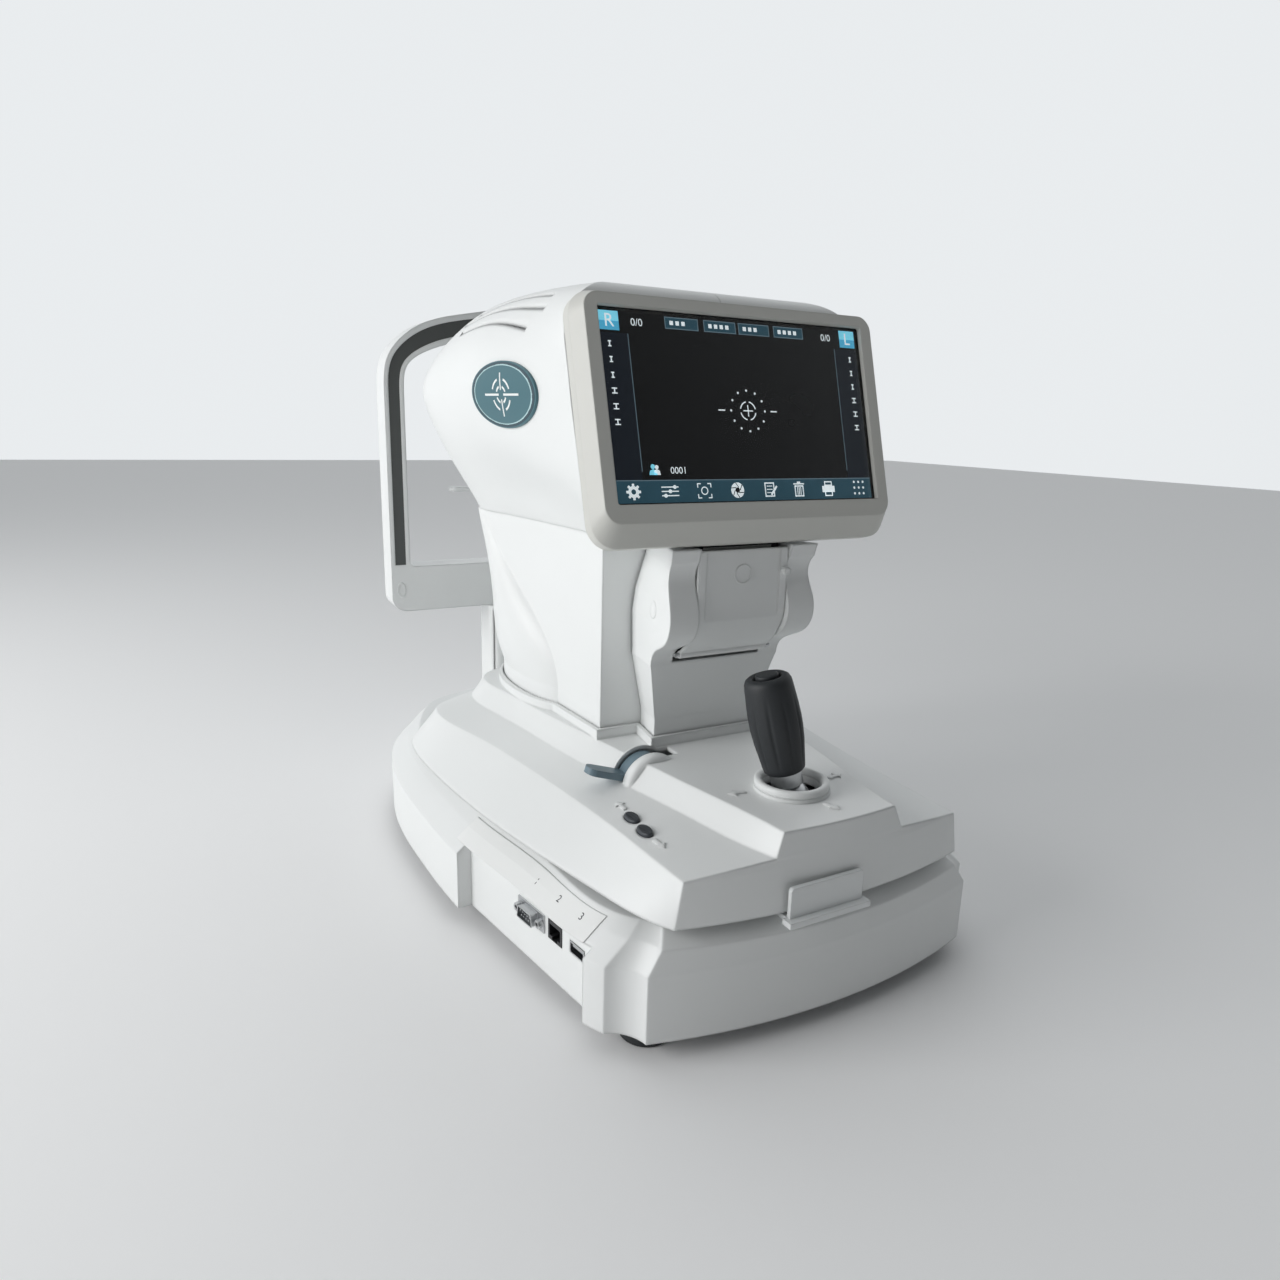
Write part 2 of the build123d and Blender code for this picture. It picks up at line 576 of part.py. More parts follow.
def pod_outline(row, inset=0.0):
    z, front_y, front_half, flank, rear_y = row
    rear_y -= inset
    if inset > 0:
        front_y += 1.3 * inset if z > BEZEL_TOP else -2
    left = [(-front_half + inset, front_y)]
    left += [(-w + inset, y) for y, w in flank]
    left.append((-flank[-1][1] * 0.62 + inset * 0.7, rear_y - (rear_y - flank[-1][0]) * 0.2))
    right = [(-x, y) for x, y in left]
    edges = [Line(right[0], left[0]), Spline(left + [(0, rear_y)] + right[::-1])]
    return Pos(0, 0, z) * make_face(edges)


def neck_outline(row, inset=0.0):
    z, crease, rear_half, rear_y = row
    rear_y -= inset
    corner = (NECK_CORNER[0] + inset, NECK_CORNER[1] + inset)
    left = [(-crease[0] + inset, crease[1]), (-rear_half - 0.6 + inset, max(crease[1] + 12, 236)),
            (-rear_half * 0.84 + inset, 256), (-rear_half * 0.45, rear_y - 3)]
    right = [(-x, y) for x, y in left]
    edges = [Line((-corner[0], corner[1]), corner), Line(corner, left[0])]
    edges += [Spline(left + [(0, rear_y)] + right[::-1]), Line(right[0], (-corner[0], corner[1]))]
    return Pos(0, 0, z) * make_face(edges)


def shifted(row, z):
    return (z,) + row[1:]


def head_form(inset=0.0):
    """Outer form of the head, or its hollow when inset is the wall thickness."""
    pod = list(POD_ROWS)
    neck = list(NECK_ROWS)
    if inset:
        pod[0] = shifted(pod[0], pod[0][0] + inset)
        for back, share in ((1, 1.0), (2, 0.7)):
            pod[-back] = shifted(pod[-back], pod[-back][0] - share * inset)
        neck[0] = shifted(neck[0], neck[0][0] - 1)
        neck.append(shifted(neck[-1], NECK_TOP + inset + 1))
    form = loft([pod_outline(row, inset) for row in pod])
    straight = loft([neck_outline(row, inset) for row in neck[:2]], ruled=True)
    flared = loft([neck_outline(row, inset) for row in neck[1:5]])
    form += straight + flared
    if inset:
        form += loft([neck_outline(row, inset) for row in neck[4:]], ruled=True)
    return form


VENT_ARCS = [[(-109, 197), (-102, 127), (-100, 77)], [(-114, 218), (-110, 137), (-107, 74)],
             [(-121, 206), (-118, 140), (-115, 86)]]


def vent_cuts():
    cuts = []
    for arc in VENT_ARCS:
        slot = trace(ThreePointArc(*arc), 2.6)
        for sketch in (slot, mirror(slot, Plane.YZ)):
            cuts.append(Pos(0, 0, 35) * extrude(sketch, 50))
    return group(cuts)


PRINTER_HALF = 57.0
WINDOW_R = 31.0


def head_shell():
    shell = head_form() - head_form(WALL)
    shell -= box(-34.6, 34.6, NECK_CORNER[1] - 5, NECK_CORNER[1] + 6, -164, -90)
    shell -= box(-30, 30, -20, 60, -86, -80)
    shell -= rod((0, 280, OPTICAL_AXIS_Z), (0, 1, 0), 60, WINDOW_R)
    rim = rounded(tilted(out=-BEZEL_T - GAP), RIM_HALF + GAP, RIM_LOW - GAP, RIM_HIGH + GAP, 16)
    shell -= extrude(rim, 40)
    shell -= vent_cuts()
    return shell


# ---------------------------------------------------------------- screen
FACE_HALF, FACE_LOW, FACE_HIGH = 108.0, -70.0, 66.0
RIM_HALF, RIM_LOW, RIM_HIGH = 113.0, -83.0, 71.0
CHAMFER_T = 12.0
OPENING = (LCD_W / 2 + 1.2, LCD_H / 2 + 1.2)


def screen_bezel():
    face = rounded(tilted(), FACE_HALF, FACE_LOW, FACE_HIGH, 10)
    rim = rounded(tilted(out=-CHAMFER_T), RIM_HALF, RIM_LOW, RIM_HIGH, 16)
    bezel = loft([face, rim], ruled=True)
    bezel += extrude(rim, -(BEZEL_T - CHAMFER_T))
    hollow = rounded(tilted(out=-BEZEL_T - 1), RIM_HALF - 5, FACE_LOW + 2, RIM_HIGH - 6, 9)
    bezel -= extrude(hollow, BEZEL_T - 2.5)
    return bezel - extrude(rounded(tilted(out=-8), OPENING[0], -OPENING[1], OPENING[1], 1.5), 10)


def touch_glass():
    return extrude(rounded(tilted(out=-5.4), OPENING[0] + 3, -OPENING[1] - 3, OPENING[1] + 3, 3), 1.8)


def lcd_panel():
    return extrude(rounded(tilted(out=-10.4), OPENING[0] + 2, -OPENING[1] - 2, OPENING[1] + 2, 2), 4.9)


def display_board():
    board = extrude(rounded(tilted(out=-15.0), 88, -48, 48, 2), 1.6)
    chip = extrude(rounded(tilted(x=-20, out=-17.4), 14, -14, 14, 1), 2.4)
    posts = [extrude(tilted(x, up, -13.4) * Circle(2.5), 3.0) for x in (-80, 80) for up in (-40, 40)]
    return board + chip + posts[0] + posts[1] + posts[2] + posts[3]


BADGE_T = 1.8


def badges():
    """Oval emblem plates that follow the flanks of the head, one on each side."""
    skin = loft([pod_outline(row, -BADGE_T) for row in POD_ROWS]) - head_form()
    plates = []
    for side in (-1, 1):
        plane = Plane(origin=(side * 95, 103, 5), x_dir=(0, 1, 0), z_dir=(side, 0, 0))
        plates.append(skin & (plane * extrude(Ellipse(43, 21.5), 60)))
    return group(plates)


# ---------------------------------------------------------------- printer
CHEEK = [(62, -86.5), (-8, -86.5), (-6, -95), (-2.5, -112), (-7.5, -125), (-8, -136), (-2, -147), (19, -159),
         (24, -170)]
DOOR_HALF = 35.0
DOOR_FRONT = -4.5


def cheek_profile():
    front = Spline([CHEEK[2], CHEEK[3], CHEEK[4], CHEEK[5], CHEEK[6], CHEEK[7], CHEEK[8]])
    edges = [Line(CHEEK[0], CHEEK[1]), Line(CHEEK[1], CHEEK[2]), front]
    edges += [Polyline(CHEEK[8], (CHEEK[0][0], -170), CHEEK[0])]
    return Plane.YZ * make_face(edges)


# The cheeks narrow towards the neck wall: height, then their half width there.
FLARE_ROWS = [(-80, -34), (-98, -36), (-122, -44), (-138, -46.2), (-164, -45.5), (-172, -45.5)]


def flare_cut(side, z, rear_x):
    points = [(-PRINTER_HALF - 0.4, -10), (rear_x, 66), (-PRINTER_HALF - 8, 66), (-PRINTER_HALF - 8, -10)]
    return Pos(0, 0, z) * make_face(Polyline(*[(-side * x, y) for x, y in points], close=True))


def printer_surround():
    """Block round the printer: two cheeks, the door's recess, and the neck front below it."""
    block = extrude(cheek_profile(), PRINTER_HALF, both=True)
    block -= box(-DOOR_HALF - 0.6, DOOR_HALF + 0.6, -20, 70, -168, -80)
    for side in (-1, 1):
        block -= loft([flare_cut(side, *row) for row in FLARE_ROWS], ruled=True)
    rear, front = NECK_FRONT
    top = [(-45.6, rear[1]), (-51.8, 24), (51.8, 24), (45.6, rear[1])]
    foot = [rear, front, (-front[0], front[1]), (-rear[0], rear[1])]
    low = Pos(0, 0, NECK_STRAIGHT) * make_face(Polyline(*foot, close=True))
    neck = loft([Pos(0, 0, -170) * make_face(Polyline(*top, close=True)), low], ruled=True)
    neck += extrude(low, NECK_BOTTOM - NECK_STRAIGHT)
    neck -= box(-33, 33, 37.5, 80, NECK_BOTTOM - 1, -175)
    return block + neck


def printer_frame():
    """Printer mechanism's frame: floor, side plates and the cutter bar over the paper slot."""
    frame = box(-34, 34, 26, 60, -163, -160)
    for x in (-34, 32):
        frame += box(x, x + 2, 27, 60, -160, -87)
        frame += box(x, x + 2, 14, 27, -148, -87)
    frame += box(-34, 34, 6, 20, -89.6, -87)
    frame += rod((-33, 35, -128), (1, 0, 0), 66, 5.8)
    return frame + box(-34, 34, 57, 60, -160, -90)


def paper_roll():
    return tube((-28.5, 35, -128), (1, 0, 0), 57, 20, 6.2)


DOOR_HINGE = (16.0, -161.0)
PLATEN = (3.4, -94.5)


def printer_door():
    """Door over the paper roll: two rails at the sides, a sunk middle and a lip along the hinge."""
    outer = [(DOOR_FRONT, -88.5), (DOOR_FRONT, -126), (0, -144), (9, -156), (20.5, -164.5)]
    inner = [(y + 2.6, z + (1.5 if z < -130 else 0)) for y, z in outer]
    skin = Plane.YZ * make_face([Line(outer[0], outer[1]), Spline(outer[1:], tangents=[(0, -1), (0.8, -0.6)]),
                                 Line(outer[-1], inner[-1]), Spline(inner[:0:-1]),
                                 Line(inner[1], inner[0]), Line(inner[0], outer[0])])
    door = extrude(skin, DOOR_HALF, both=True)
    door -= box(-DOOR_HALF + 6, DOOR_HALF - 6, DOOR_FRONT - 1, DOOR_FRONT + 1.1, -137, -80)
    for x in (-DOOR_HALF + 2, DOOR_HALF - 5):
        door += box(x, x + 3, DOOR_FRONT + 2, 5.5, -99, -90)
    door -= rod((-DOOR_HALF, PLATEN[0], PLATEN[1]), (1, 0, 0), 2 * DOOR_HALF, 1.06)
    hinge = rod((-DOOR_HALF, DOOR_HINGE[0], DOOR_HINGE[1]), (1, 0, 0), 2 * DOOR_HALF, 2.6)
    door += hinge - rod((-DOOR_HALF, DOOR_HINGE[0], DOOR_HINGE[1]), (1, 0, 0), 2 * DOOR_HALF, 1.25)
    return door - rod((-DOOR_HALF - 1, DOOR_HINGE[0], DOOR_HINGE[1]), (1, 0, 0), 2 * DOOR_HALF + 2, 1.25)


def door_hinge_pin():
    return rod((-DOOR_HALF - 4, DOOR_HINGE[0], DOOR_HINGE[1]), (1, 0, 0), 2 * DOOR_HALF + 8, 1.2)


def door_latch():
    """Small round release knob on the door's right-hand rail."""
    return rod((DOOR_HALF - 3, DOOR_FRONT, -104), (0, -1, 0), 5, 2.6)


def platen_roller():
    roller = rod((-27, PLATEN[0], PLATEN[1]), (1, 0, 0), 54, 4.0)
    return roller + rod((-31.5, PLATEN[0], PLATEN[1]), (1, 0, 0), 63, 1.0)


# ---------------------------------------------------------------- optics
def optical_bench():
    """Table that carries the optics, on four legs that stand on the head platform."""
    bench = box(-40, 40, 95, 225, OPTICAL_AXIS_Z - 34, OPTICAL_AXIS_Z - 29)
    for x in (-40, 36):
        for y in (95, 217):
            bench += box(x, x + 4, y, y + 8, LIFT_PLATE_Z + 4, OPTICAL_AXIS_Z - 30)
    return bench


def optics_block():
    block = box(-34, 34, 100, 225, OPTICAL_AXIS_Z - 29, OPTICAL_AXIS_Z + 28)
    return block - rod((0, 120, OPTICAL_AXIS_Z), (0, 1, 0), 110, 20.1)


def lens_barrel():
    return tube((0, 130, OPTICAL_AXIS_Z), (0, 1, 0), 168, 20, 17)


def objective_lens():
    disc = rod((0, 286, OPTICAL_AXIS_Z), (0, 1, 0), 8, 17)
    ball = Pos(0, 286 - 32, OPTICAL_AXIS_Z) * Sphere(40)
    return disc & ball


def window_bezel():
    bezel = tube((0, 302, OPTICAL_AXIS_Z), (0, 1, 0), 14, WINDOW_R - GAP, 26.2)
    return bezel + tube((0, 314.4, OPTICAL_AXIS_Z), (0, 1, 0), 2.6, WINDOW_R + 3, 26.2)


# ---------------------------------------------------------------- face frame and chin rest
FRAME_HALF, FRAME_BAR = 145.0, 18.0
FRAME_LOW, FRAME_SILL = -194.0, -151.0


def frame_top(margin):
    """Arched upper outline of the frame, drawn in by margin."""
    m = margin
    left = [(-FRAME_HALF + m, 8), (-139.5 + m, 42 - 0.4 * m), (-117 + 0.8 * m, 65 - m)]
    left.append((-62 + 0.4 * m, 82 - m * 1.25))
    right = [(-x, z) for x, z in left[::-1]]
    return Spline(left + [(0, 90 - m * 1.4)] + right, tangents=[(0, 1), (0, -1)])


def frame_opening(margin, low):
    half = FRAME_HALF - margin
    edges = [frame_top(margin), Line((half, 8), (half, low)), Line((half, low), (-half, low)),
             Line((-half, low), (-half, 8))]
    return make_face(edges)


def frame_slab(sketch, front, back):
    """Extrude a sketch drawn in x and z between two depths."""
    plane = Plane(origin=(0, back, 0), x_dir=(1, 0, 0), z_dir=(0, -1, 0))
    return extrude(plane * sketch, back - front)


FRAME_FRONT, FRAME_BACK = FRAME_Y - FRAME_DEPTH / 2, FRAME_Y + FRAME_DEPTH / 2
POST_R = 9.0


def face_frame():
    outer = frame_opening(0, FRAME_LOW)
    outer = fillet(outer.vertices().group_by(Axis.Y)[0], 14)
    opening = frame_opening(FRAME_BAR, FRAME_SILL)
    opening = fillet(opening.vertices().group_by(Axis.Y)[0], 5)
    ring = frame_slab(outer - opening, FRAME_FRONT, FRAME_BACK)
    ring -= frame_slab(inlay_sketch(), FRAME_FRONT - 1, FRAME_FRONT + 1.5)
    return ring - rod((0, FRAME_Y, FRAME_LOW - 5), (0, 0, 1), 60, 13)


def inlay_sketch():
    band = frame_opening(4, FRAME_SILL + 2) - frame_opening(14, FRAME_SILL - 30)
    return band


def frame_inlay():
    return frame_slab(inlay_sketch(), FRAME_FRONT + 0.5, FRAME_FRONT + 1.5)


def forehead_pad():
    pad = frame_opening(3, 30) - frame_opening(15, 30)
    pad &= Pos(0, 70) * Rectangle(150, 60)
    return frame_slab(pad, FRAME_BACK, FRAME_BACK + 6)


def face_column():
    low = BASE_TOP - 30
    column = box(-COLUMN_HALF, COLUMN_HALF, FRAME_Y - 25, FRAME_Y + 19, low, FRAME_LOW)
    column = fillet(column.edges().filter_by(Axis.Z), 11)
    column -= box(-COLUMN_HALF + 3, COLUMN_HALF - 3, FRAME_Y - 22, FRAME_Y + 16, low - 1, FRAME_LOW - 4)
    column -= rod((0, FRAME_Y, FRAME_LOW - 6), (0, 0, 1), 8, 13)
    return column - base_body(0, BASE_BOTTOM, 0)


CHIN_TOP = -72.0


def chin_post():
    return tube((0, FRAME_Y, -246), (0, 0, 1), CHIN_TOP - 14 + 246, POST_R, 5.0)


def chin_rest():
    """Dished cup with a finger tab at each end."""
    plan = Pos(0, FRAME_Y - 4) * RectangleRounded(112, 46, 20)
    cup = Pos(0, 0, CHIN_TOP - 14) * extrude(plan, 14)
    cup = fillet(cup.edges().group_by(Axis.Z)[0], 6)
    dish = Pos(0, FRAME_Y - 2, CHIN_TOP + 72) * Rot(90, 0, 0) * Cylinder(78, 34)
    cup -= dish & box(-44, 44, FRAME_Y - 40, FRAME_Y + 30, CHIN_TOP - 8, CHIN_TOP + 5)
    for side in (-1, 1):
        tab = Pos(side * 68, FRAME_Y - 6, CHIN_TOP - 9) * extrude(RectangleRounded(33, 14, 5), 4)
        cup += tab
    return cup


def chin_screw():
    foot = (0, FRAME_Y, BASE_TOP + 0.2)
    return rod(foot, (0, 0, 1), 166, 3.5) + rod(foot, (0, 0, 1), 7, 9)


# ---------------------------------------------------------------- transport clip
CLIP_X = -13.0
CLIP_LOW, CLIP_HIGH = BASE_TOP + 0.35, -261.5


def transport_clip():
    """Push-on clip at the front edge of the stage cover, with a lip under the edge."""
    back = -122.4
    front = -HALF_DEPTH - SCREEN_Y
    face = box(CLIP_X - 28, CLIP_X + 25, back - 3, back, CLIP_LOW, CLIP_HIGH)
    face = fillet(face.edges().filter_by(Axis.Y).group_by(Axis.Z)[-1], 2)
    lip = box(CLIP_X - 28, CLIP_X + 25, back - 1, back + 10, CLIP_LOW, CLIP_LOW + 3)
    return face + lip + box(CLIP_X - 31, CLIP_X + 28, front, back, CLIP_LOW, CLIP_LOW + 3.5)


# ---------------------------------------------------------------- the whole machine
def main():
    os.makedirs("parts", exist_ok=True)
    left_cover = head_shell() & box(-160, -0.1, -30, 330, -250, 100)
    write("head_cover_left", left_cover)
    write("head_cover_right", mirror(left_cover, Plane.YZ))
    write("chin_up_button", chin_button(0))
    write("chin_down_button", chin_button(1))
    makers = [
        base_housing, bottom_plate, feet, label_plate, serial_port, network_port, usb_port,
        power_entry, power_rocker, power_supply, main_board,
        depth_rods, rod_blocks, cross_carriage, cross_rods, stage_plate, stage_cover,
        lock_lever, lever_bracket, joystick_socket, joystick_ring, joystick_gimbal, joystick_stem,
        joystick_grip, joystick_button,
        lift_shafts, lift_screw, lift_motor, lift_belt, lift_plate, lift_nut,
        screen_bezel, touch_glass, lcd_panel, display_board, badges,
        printer_surround, printer_frame, paper_roll, printer_door, door_latch,
        door_hinge_pin, platen_roller, optical_bench, optics_block, lens_barrel, objective_lens, window_bezel,
        face_frame, frame_inlay, forehead_pad, face_column, chin_post, chin_rest, chin_screw,
        transport_clip]
    for maker in makers:
        write(maker.__name__, maker())


main()
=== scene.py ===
import json
import math

import bpy
from mathutils import Matrix, Vector
from mathutils.bvhtree import BVHTree


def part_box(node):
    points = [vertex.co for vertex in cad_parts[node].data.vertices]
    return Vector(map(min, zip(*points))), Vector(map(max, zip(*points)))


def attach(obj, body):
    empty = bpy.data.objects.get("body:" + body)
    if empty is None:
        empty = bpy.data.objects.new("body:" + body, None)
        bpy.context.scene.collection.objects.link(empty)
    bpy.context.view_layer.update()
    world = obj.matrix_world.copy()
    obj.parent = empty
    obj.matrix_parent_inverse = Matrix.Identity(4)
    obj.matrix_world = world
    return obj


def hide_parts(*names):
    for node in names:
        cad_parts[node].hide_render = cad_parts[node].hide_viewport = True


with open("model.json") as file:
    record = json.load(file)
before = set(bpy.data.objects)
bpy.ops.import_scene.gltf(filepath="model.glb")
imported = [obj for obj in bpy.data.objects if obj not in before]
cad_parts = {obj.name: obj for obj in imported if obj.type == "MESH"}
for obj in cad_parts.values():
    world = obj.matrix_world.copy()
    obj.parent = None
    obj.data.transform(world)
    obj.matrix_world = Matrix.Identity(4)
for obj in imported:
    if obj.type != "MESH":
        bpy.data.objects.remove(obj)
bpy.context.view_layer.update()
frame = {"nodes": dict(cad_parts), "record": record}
MM = 0.001

# ---------------------------------------------------------------- materials
FINISHES = {
    # slot: colour, roughness, metallic, grain per metre, grain height, colour drift
    "white_casing": ((0.80, 0.815, 0.81), 0.38, 0.0, 900, 0.05, 0.02),
    "grey_bezel": ((0.60, 0.60, 0.565), 0.42, 0.0, 1300, 0.10, 0.025),
    "strip_grey": ((0.075, 0.08, 0.078), 0.55, 0.0, 1600, 0.20, 0.10),
    "slate_plastic": ((0.14, 0.205, 0.245), 0.42, 0.0, 1300, 0.12, 0.06),
    "dark_button": ((0.045, 0.052, 0.06), 0.45, 0.0, 1500, 0.15, 0.08),
    "black_rubber": ((0.018, 0.021, 0.024), 0.55, 0.0, 1200, 0.25, 0.15),
    "port_black": ((0.022, 0.022, 0.025), 0.40, 0.0, 1400, 0.10, 0.10),
    "steel": ((0.56, 0.57, 0.58), 0.28, 1.0, 700, 0.10, 0.05),
    "zinc": ((0.62, 0.63, 0.64), 0.40, 1.0, 600, 0.12, 0.05),
    "brass": ((0.70, 0.50, 0.20), 0.30, 1.0, 600, 0.08, 0.05),
    "board_green": ((0.03, 0.16, 0.07), 0.35, 0.0, 400, 0.15, 0.15),
    "screen_image": ((0.002, 0.002, 0.003), 0.25, 0.0, 500, 0.0, 0.10),
    "badge_teal": ((0.060, 0.155, 0.185), 0.35, 0.0, 900, 0.05, 0.05),
    "label_white": ((0.82, 0.83, 0.82), 0.35, 0.0, 900, 0.05, 0.02),
    "pad_rubber": ((0.42, 0.44, 0.44), 0.60, 0.0, 1200, 0.20, 0.05),
    "paper": ((0.88, 0.88, 0.85), 0.80, 0.0, 900, 0.15, 0.03),
    "clip_white": ((0.78, 0.80, 0.80), 0.34, 0.0, 900, 0.05, 0.02),
}
EDGE_RADIUS = {"white_casing": 0.0026, "grey_bezel": 0.0016, "clip_white": 0.0008}
PLAIN_EDGE = 0.0005             # edge radius of every other slot, in metres
GRAIN_DEPTH = 0.0002            # in metres
DRIFT_SCALE = 9.0               # slow change of tone and gloss, per metre


def link(tree, source, output, target, socket):
    tree.links.new(source.outputs[output], target.inputs[socket])


def finish(name):
    """Moulded or machined surface: fine grain, drifting tone and rubbed edges."""
    colour, rough, metal, grain, height, drift = FINISHES[name]
    mat = bpy.data.materials.new(name)
    mat.use_nodes = True
    tree = mat.node_tree
    shader = tree.nodes["Principled BSDF"]
    shader.inputs["Metallic"].default_value = metal
    place = tree.nodes.new("ShaderNodeTexCoord")
    fine = tree.nodes.new("ShaderNodeTexNoise")
    fine.inputs["Scale"].default_value = grain
    fine.inputs["Detail"].default_value = 3.0
    link(tree, place, "Object", fine, "Vector")
    wide = tree.nodes.new("ShaderNodeTexNoise")
    wide.inputs["Scale"].default_value = DRIFT_SCALE
    wide.inputs["Detail"].default_value = 4.0
    link(tree, place, "Object", wide, "Vector")
    tone = tree.nodes.new("ShaderNodeMix")
    tone.data_type = "RGBA"
    tone.inputs["A"].default_value = (*[c * (1 - drift) for c in colour], 1)
    tone.inputs["B"].default_value = (*[min(1, c * (1 + drift)) for c in colour], 1)
    link(tree, wide, "Fac", tone, "Factor")
    geometry = tree.nodes.new("ShaderNodeNewGeometry")
    edge = tree.nodes.new("ShaderNodeMapRange")
    edge.inputs["From Min"].default_value = 0.56
    edge.inputs["From Max"].default_value = 0.70
    edge.inputs["To Max"].default_value = 0.25
    link(tree, geometry, "Pointiness", edge, "Value")
    worn = tree.nodes.new("ShaderNodeMix")
    worn.data_type = "RGBA"
    worn.inputs["B"].default_value = (*[min(1, c * 1.25 + 0.02) for c in colour], 1)
    link(tree, edge, "Result", worn, "Factor")
    tree.links.new(tone.outputs["Result"], worn.inputs["A"])
    tree.links.new(worn.outputs["Result"], shader.inputs["Base Color"])
    gloss = tree.nodes.new("ShaderNodeMapRange")
    gloss.inputs["To Min"].default_value = rough - 0.05
    gloss.inputs["To Max"].default_value = rough + 0.06
    link(tree, wide, "Fac", gloss, "Value")
    link(tree, gloss, "Result", shader, "Roughness")
    bump = tree.nodes.new("ShaderNodeBump")
    bump.inputs["Strength"].default_value = height
    bump.inputs["Distance"].default_value = GRAIN_DEPTH
    link(tree, fine, "Fac", bump, "Height")
    soft = tree.nodes.new("ShaderNodeBevel")
    soft.samples = 4
    soft.inputs["Radius"].default_value = EDGE_RADIUS.get(name, PLAIN_EDGE)
    link(tree, soft, "Normal", bump, "Normal")
    link(tree, bump, "Normal", shader, "Normal")
    return mat


def clear_glass(name, tint, rough):
    """Tinted glass with faint smears."""
    mat = bpy.data.materials.new(name)
    mat.use_nodes = True
    tree = mat.node_tree
    shader = tree.nodes["Principled BSDF"]
    shader.inputs["Base Color"].default_value = (*tint, 1)
    shader.inputs["Transmission Weight"].default_value = 1.0
    shader.inputs["IOR"].default_value = 1.45
    place = tree.nodes.new("ShaderNodeTexCoord")
    smear = tree.nodes.new("ShaderNodeTexNoise")
    smear.inputs["Scale"].default_value = 30.0
    link(tree, place, "Object", smear, "Vector")
    gloss = tree.nodes.new("ShaderNodeMapRange")
    gloss.inputs["To Min"].default_value = rough
    gloss.inputs["To Max"].default_value = rough + 0.03
    link(tree, smear, "Fac", gloss, "Value")
    link(tree, gloss, "Result", shader, "Roughness")
    return mat


def glow(name, colour, strength):
    """Lit part of the display."""
    mat = bpy.data.materials.new(name)
    mat.use_nodes = True
    tree = mat.node_tree
    shader = tree.nodes["Principled BSDF"]
    shader.inputs["Roughness"].default_value = 0.4
    place = tree.nodes.new("ShaderNodeTexCoord")
    cells = tree.nodes.new("ShaderNodeTexNoise")
    cells.inputs["Scale"].default_value = 60.0
    link(tree, place, "Object", cells, "Vector")
    tone = tree.nodes.new("ShaderNodeMix")
    tone.data_type = "RGBA"
    tone.inputs["A"].default_value = (*[c * 0.88 for c in colour], 1)
    tone.inputs["B"].default_value = (*[min(1, c * 1.1) for c in colour], 1)
    link(tree, cells, "Fac", tone, "Factor")
    tree.links.new(tone.outputs["Result"], shader.inputs["Base Color"])
    tree.links.new(tone.outputs["Result"], shader.inputs["Emission Color"])
    shader.inputs["Emission Strength"].default_value = strength
    return mat


materials = {name: finish(name) for name in FINISHES}
materials["screen_glass"] = clear_glass("screen_glass", (0.93, 0.95, 0.96), 0.03)
materials["lens_glass"] = clear_glass("lens_glass", (0.70, 0.82, 0.92), 0.01)

for entry in frame["record"]["subparts"]:
    node = frame["nodes"][entry["node"]]
    node.data.materials.clear()
    node.data.materials.append(materials[entry["material_slot"]])


# ---------------------------------------------------------------- camera, light and floor
CAMERA_AT = Vector((-0.33418, -0.61008, 0.35272))
YAW, PITCH, ROLL = 0.50113, 0.24699, 0.02721      # radians, found from the photo
LENS, SENSOR = 24.906, 36.0                       # millimetres
FLOOR_REACH = 6.0
BRIGHT_SIDE = (0.40, 0.90, 0.12)
SKY_DIM, SKY_BRIGHT = 0.10, 0.86


def place_camera():
    level = math.cos(PITCH)
    ahead = Vector((math.sin(YAW) * level, math.cos(YAW) * level, -math.sin(PITCH)))
    right = Vector((math.cos(YAW), -math.sin(YAW), 0))
    up = right.cross(ahead)
    turned_right = right * math.cos(ROLL) + up * math.sin(ROLL)
    turned_up = up * math.cos(ROLL) - right * math.sin(ROLL)
    data = bpy.data.cameras.new("camera")
    data.sensor_width = SENSOR
    data.lens = LENS
    data.clip_start = 0.01
    camera = bpy.data.objects.new("camera", data)
    turn = Matrix((turned_right, turned_up, -ahead)).transposed().to_4x4()
    camera.matrix_world = Matrix.Translation(CAMERA_AT) @ turn
    bpy.context.collection.objects.link(camera)
    bpy.context.scene.camera = camera


def lamp(name, at, aim, size, power):
    data = bpy.data.lights.new(name, "AREA")
    data.shape = "RECTANGLE"
    data.size, data.size_y = size
    data.energy = power
    light = bpy.data.objects.new(name, data)
    light.location = at
    light.rotation_euler = (Vector(aim) - Vector(at)).to_track_quat("-Z", "Y").to_euler()
    bpy.context.collection.objects.link(light)


def floor_sheet():
    mesh = bpy.data.meshes.new("floor")
    corners = [(-1, -1), (1, -1), (1, 1), (-1, 1)]
    mesh.from_pydata([(x * FLOOR_REACH, y * FLOOR_REACH, 0) for x, y in corners], [], [(0, 1, 2, 3)])
    floor = bpy.data.objects.new("floor", mesh)
    mat = bpy.data.materials.new("floor")
    mat.use_nodes = True
    shader = mat.node_tree.nodes["Principled BSDF"]
    shader.inputs["Base Color"].default_value = (0.93, 0.93, 0.93, 1)
    shader.inputs["Roughness"].default_value = 0.7
    mesh.materials.append(mat)
    bpy.context.collection.objects.link(floor)


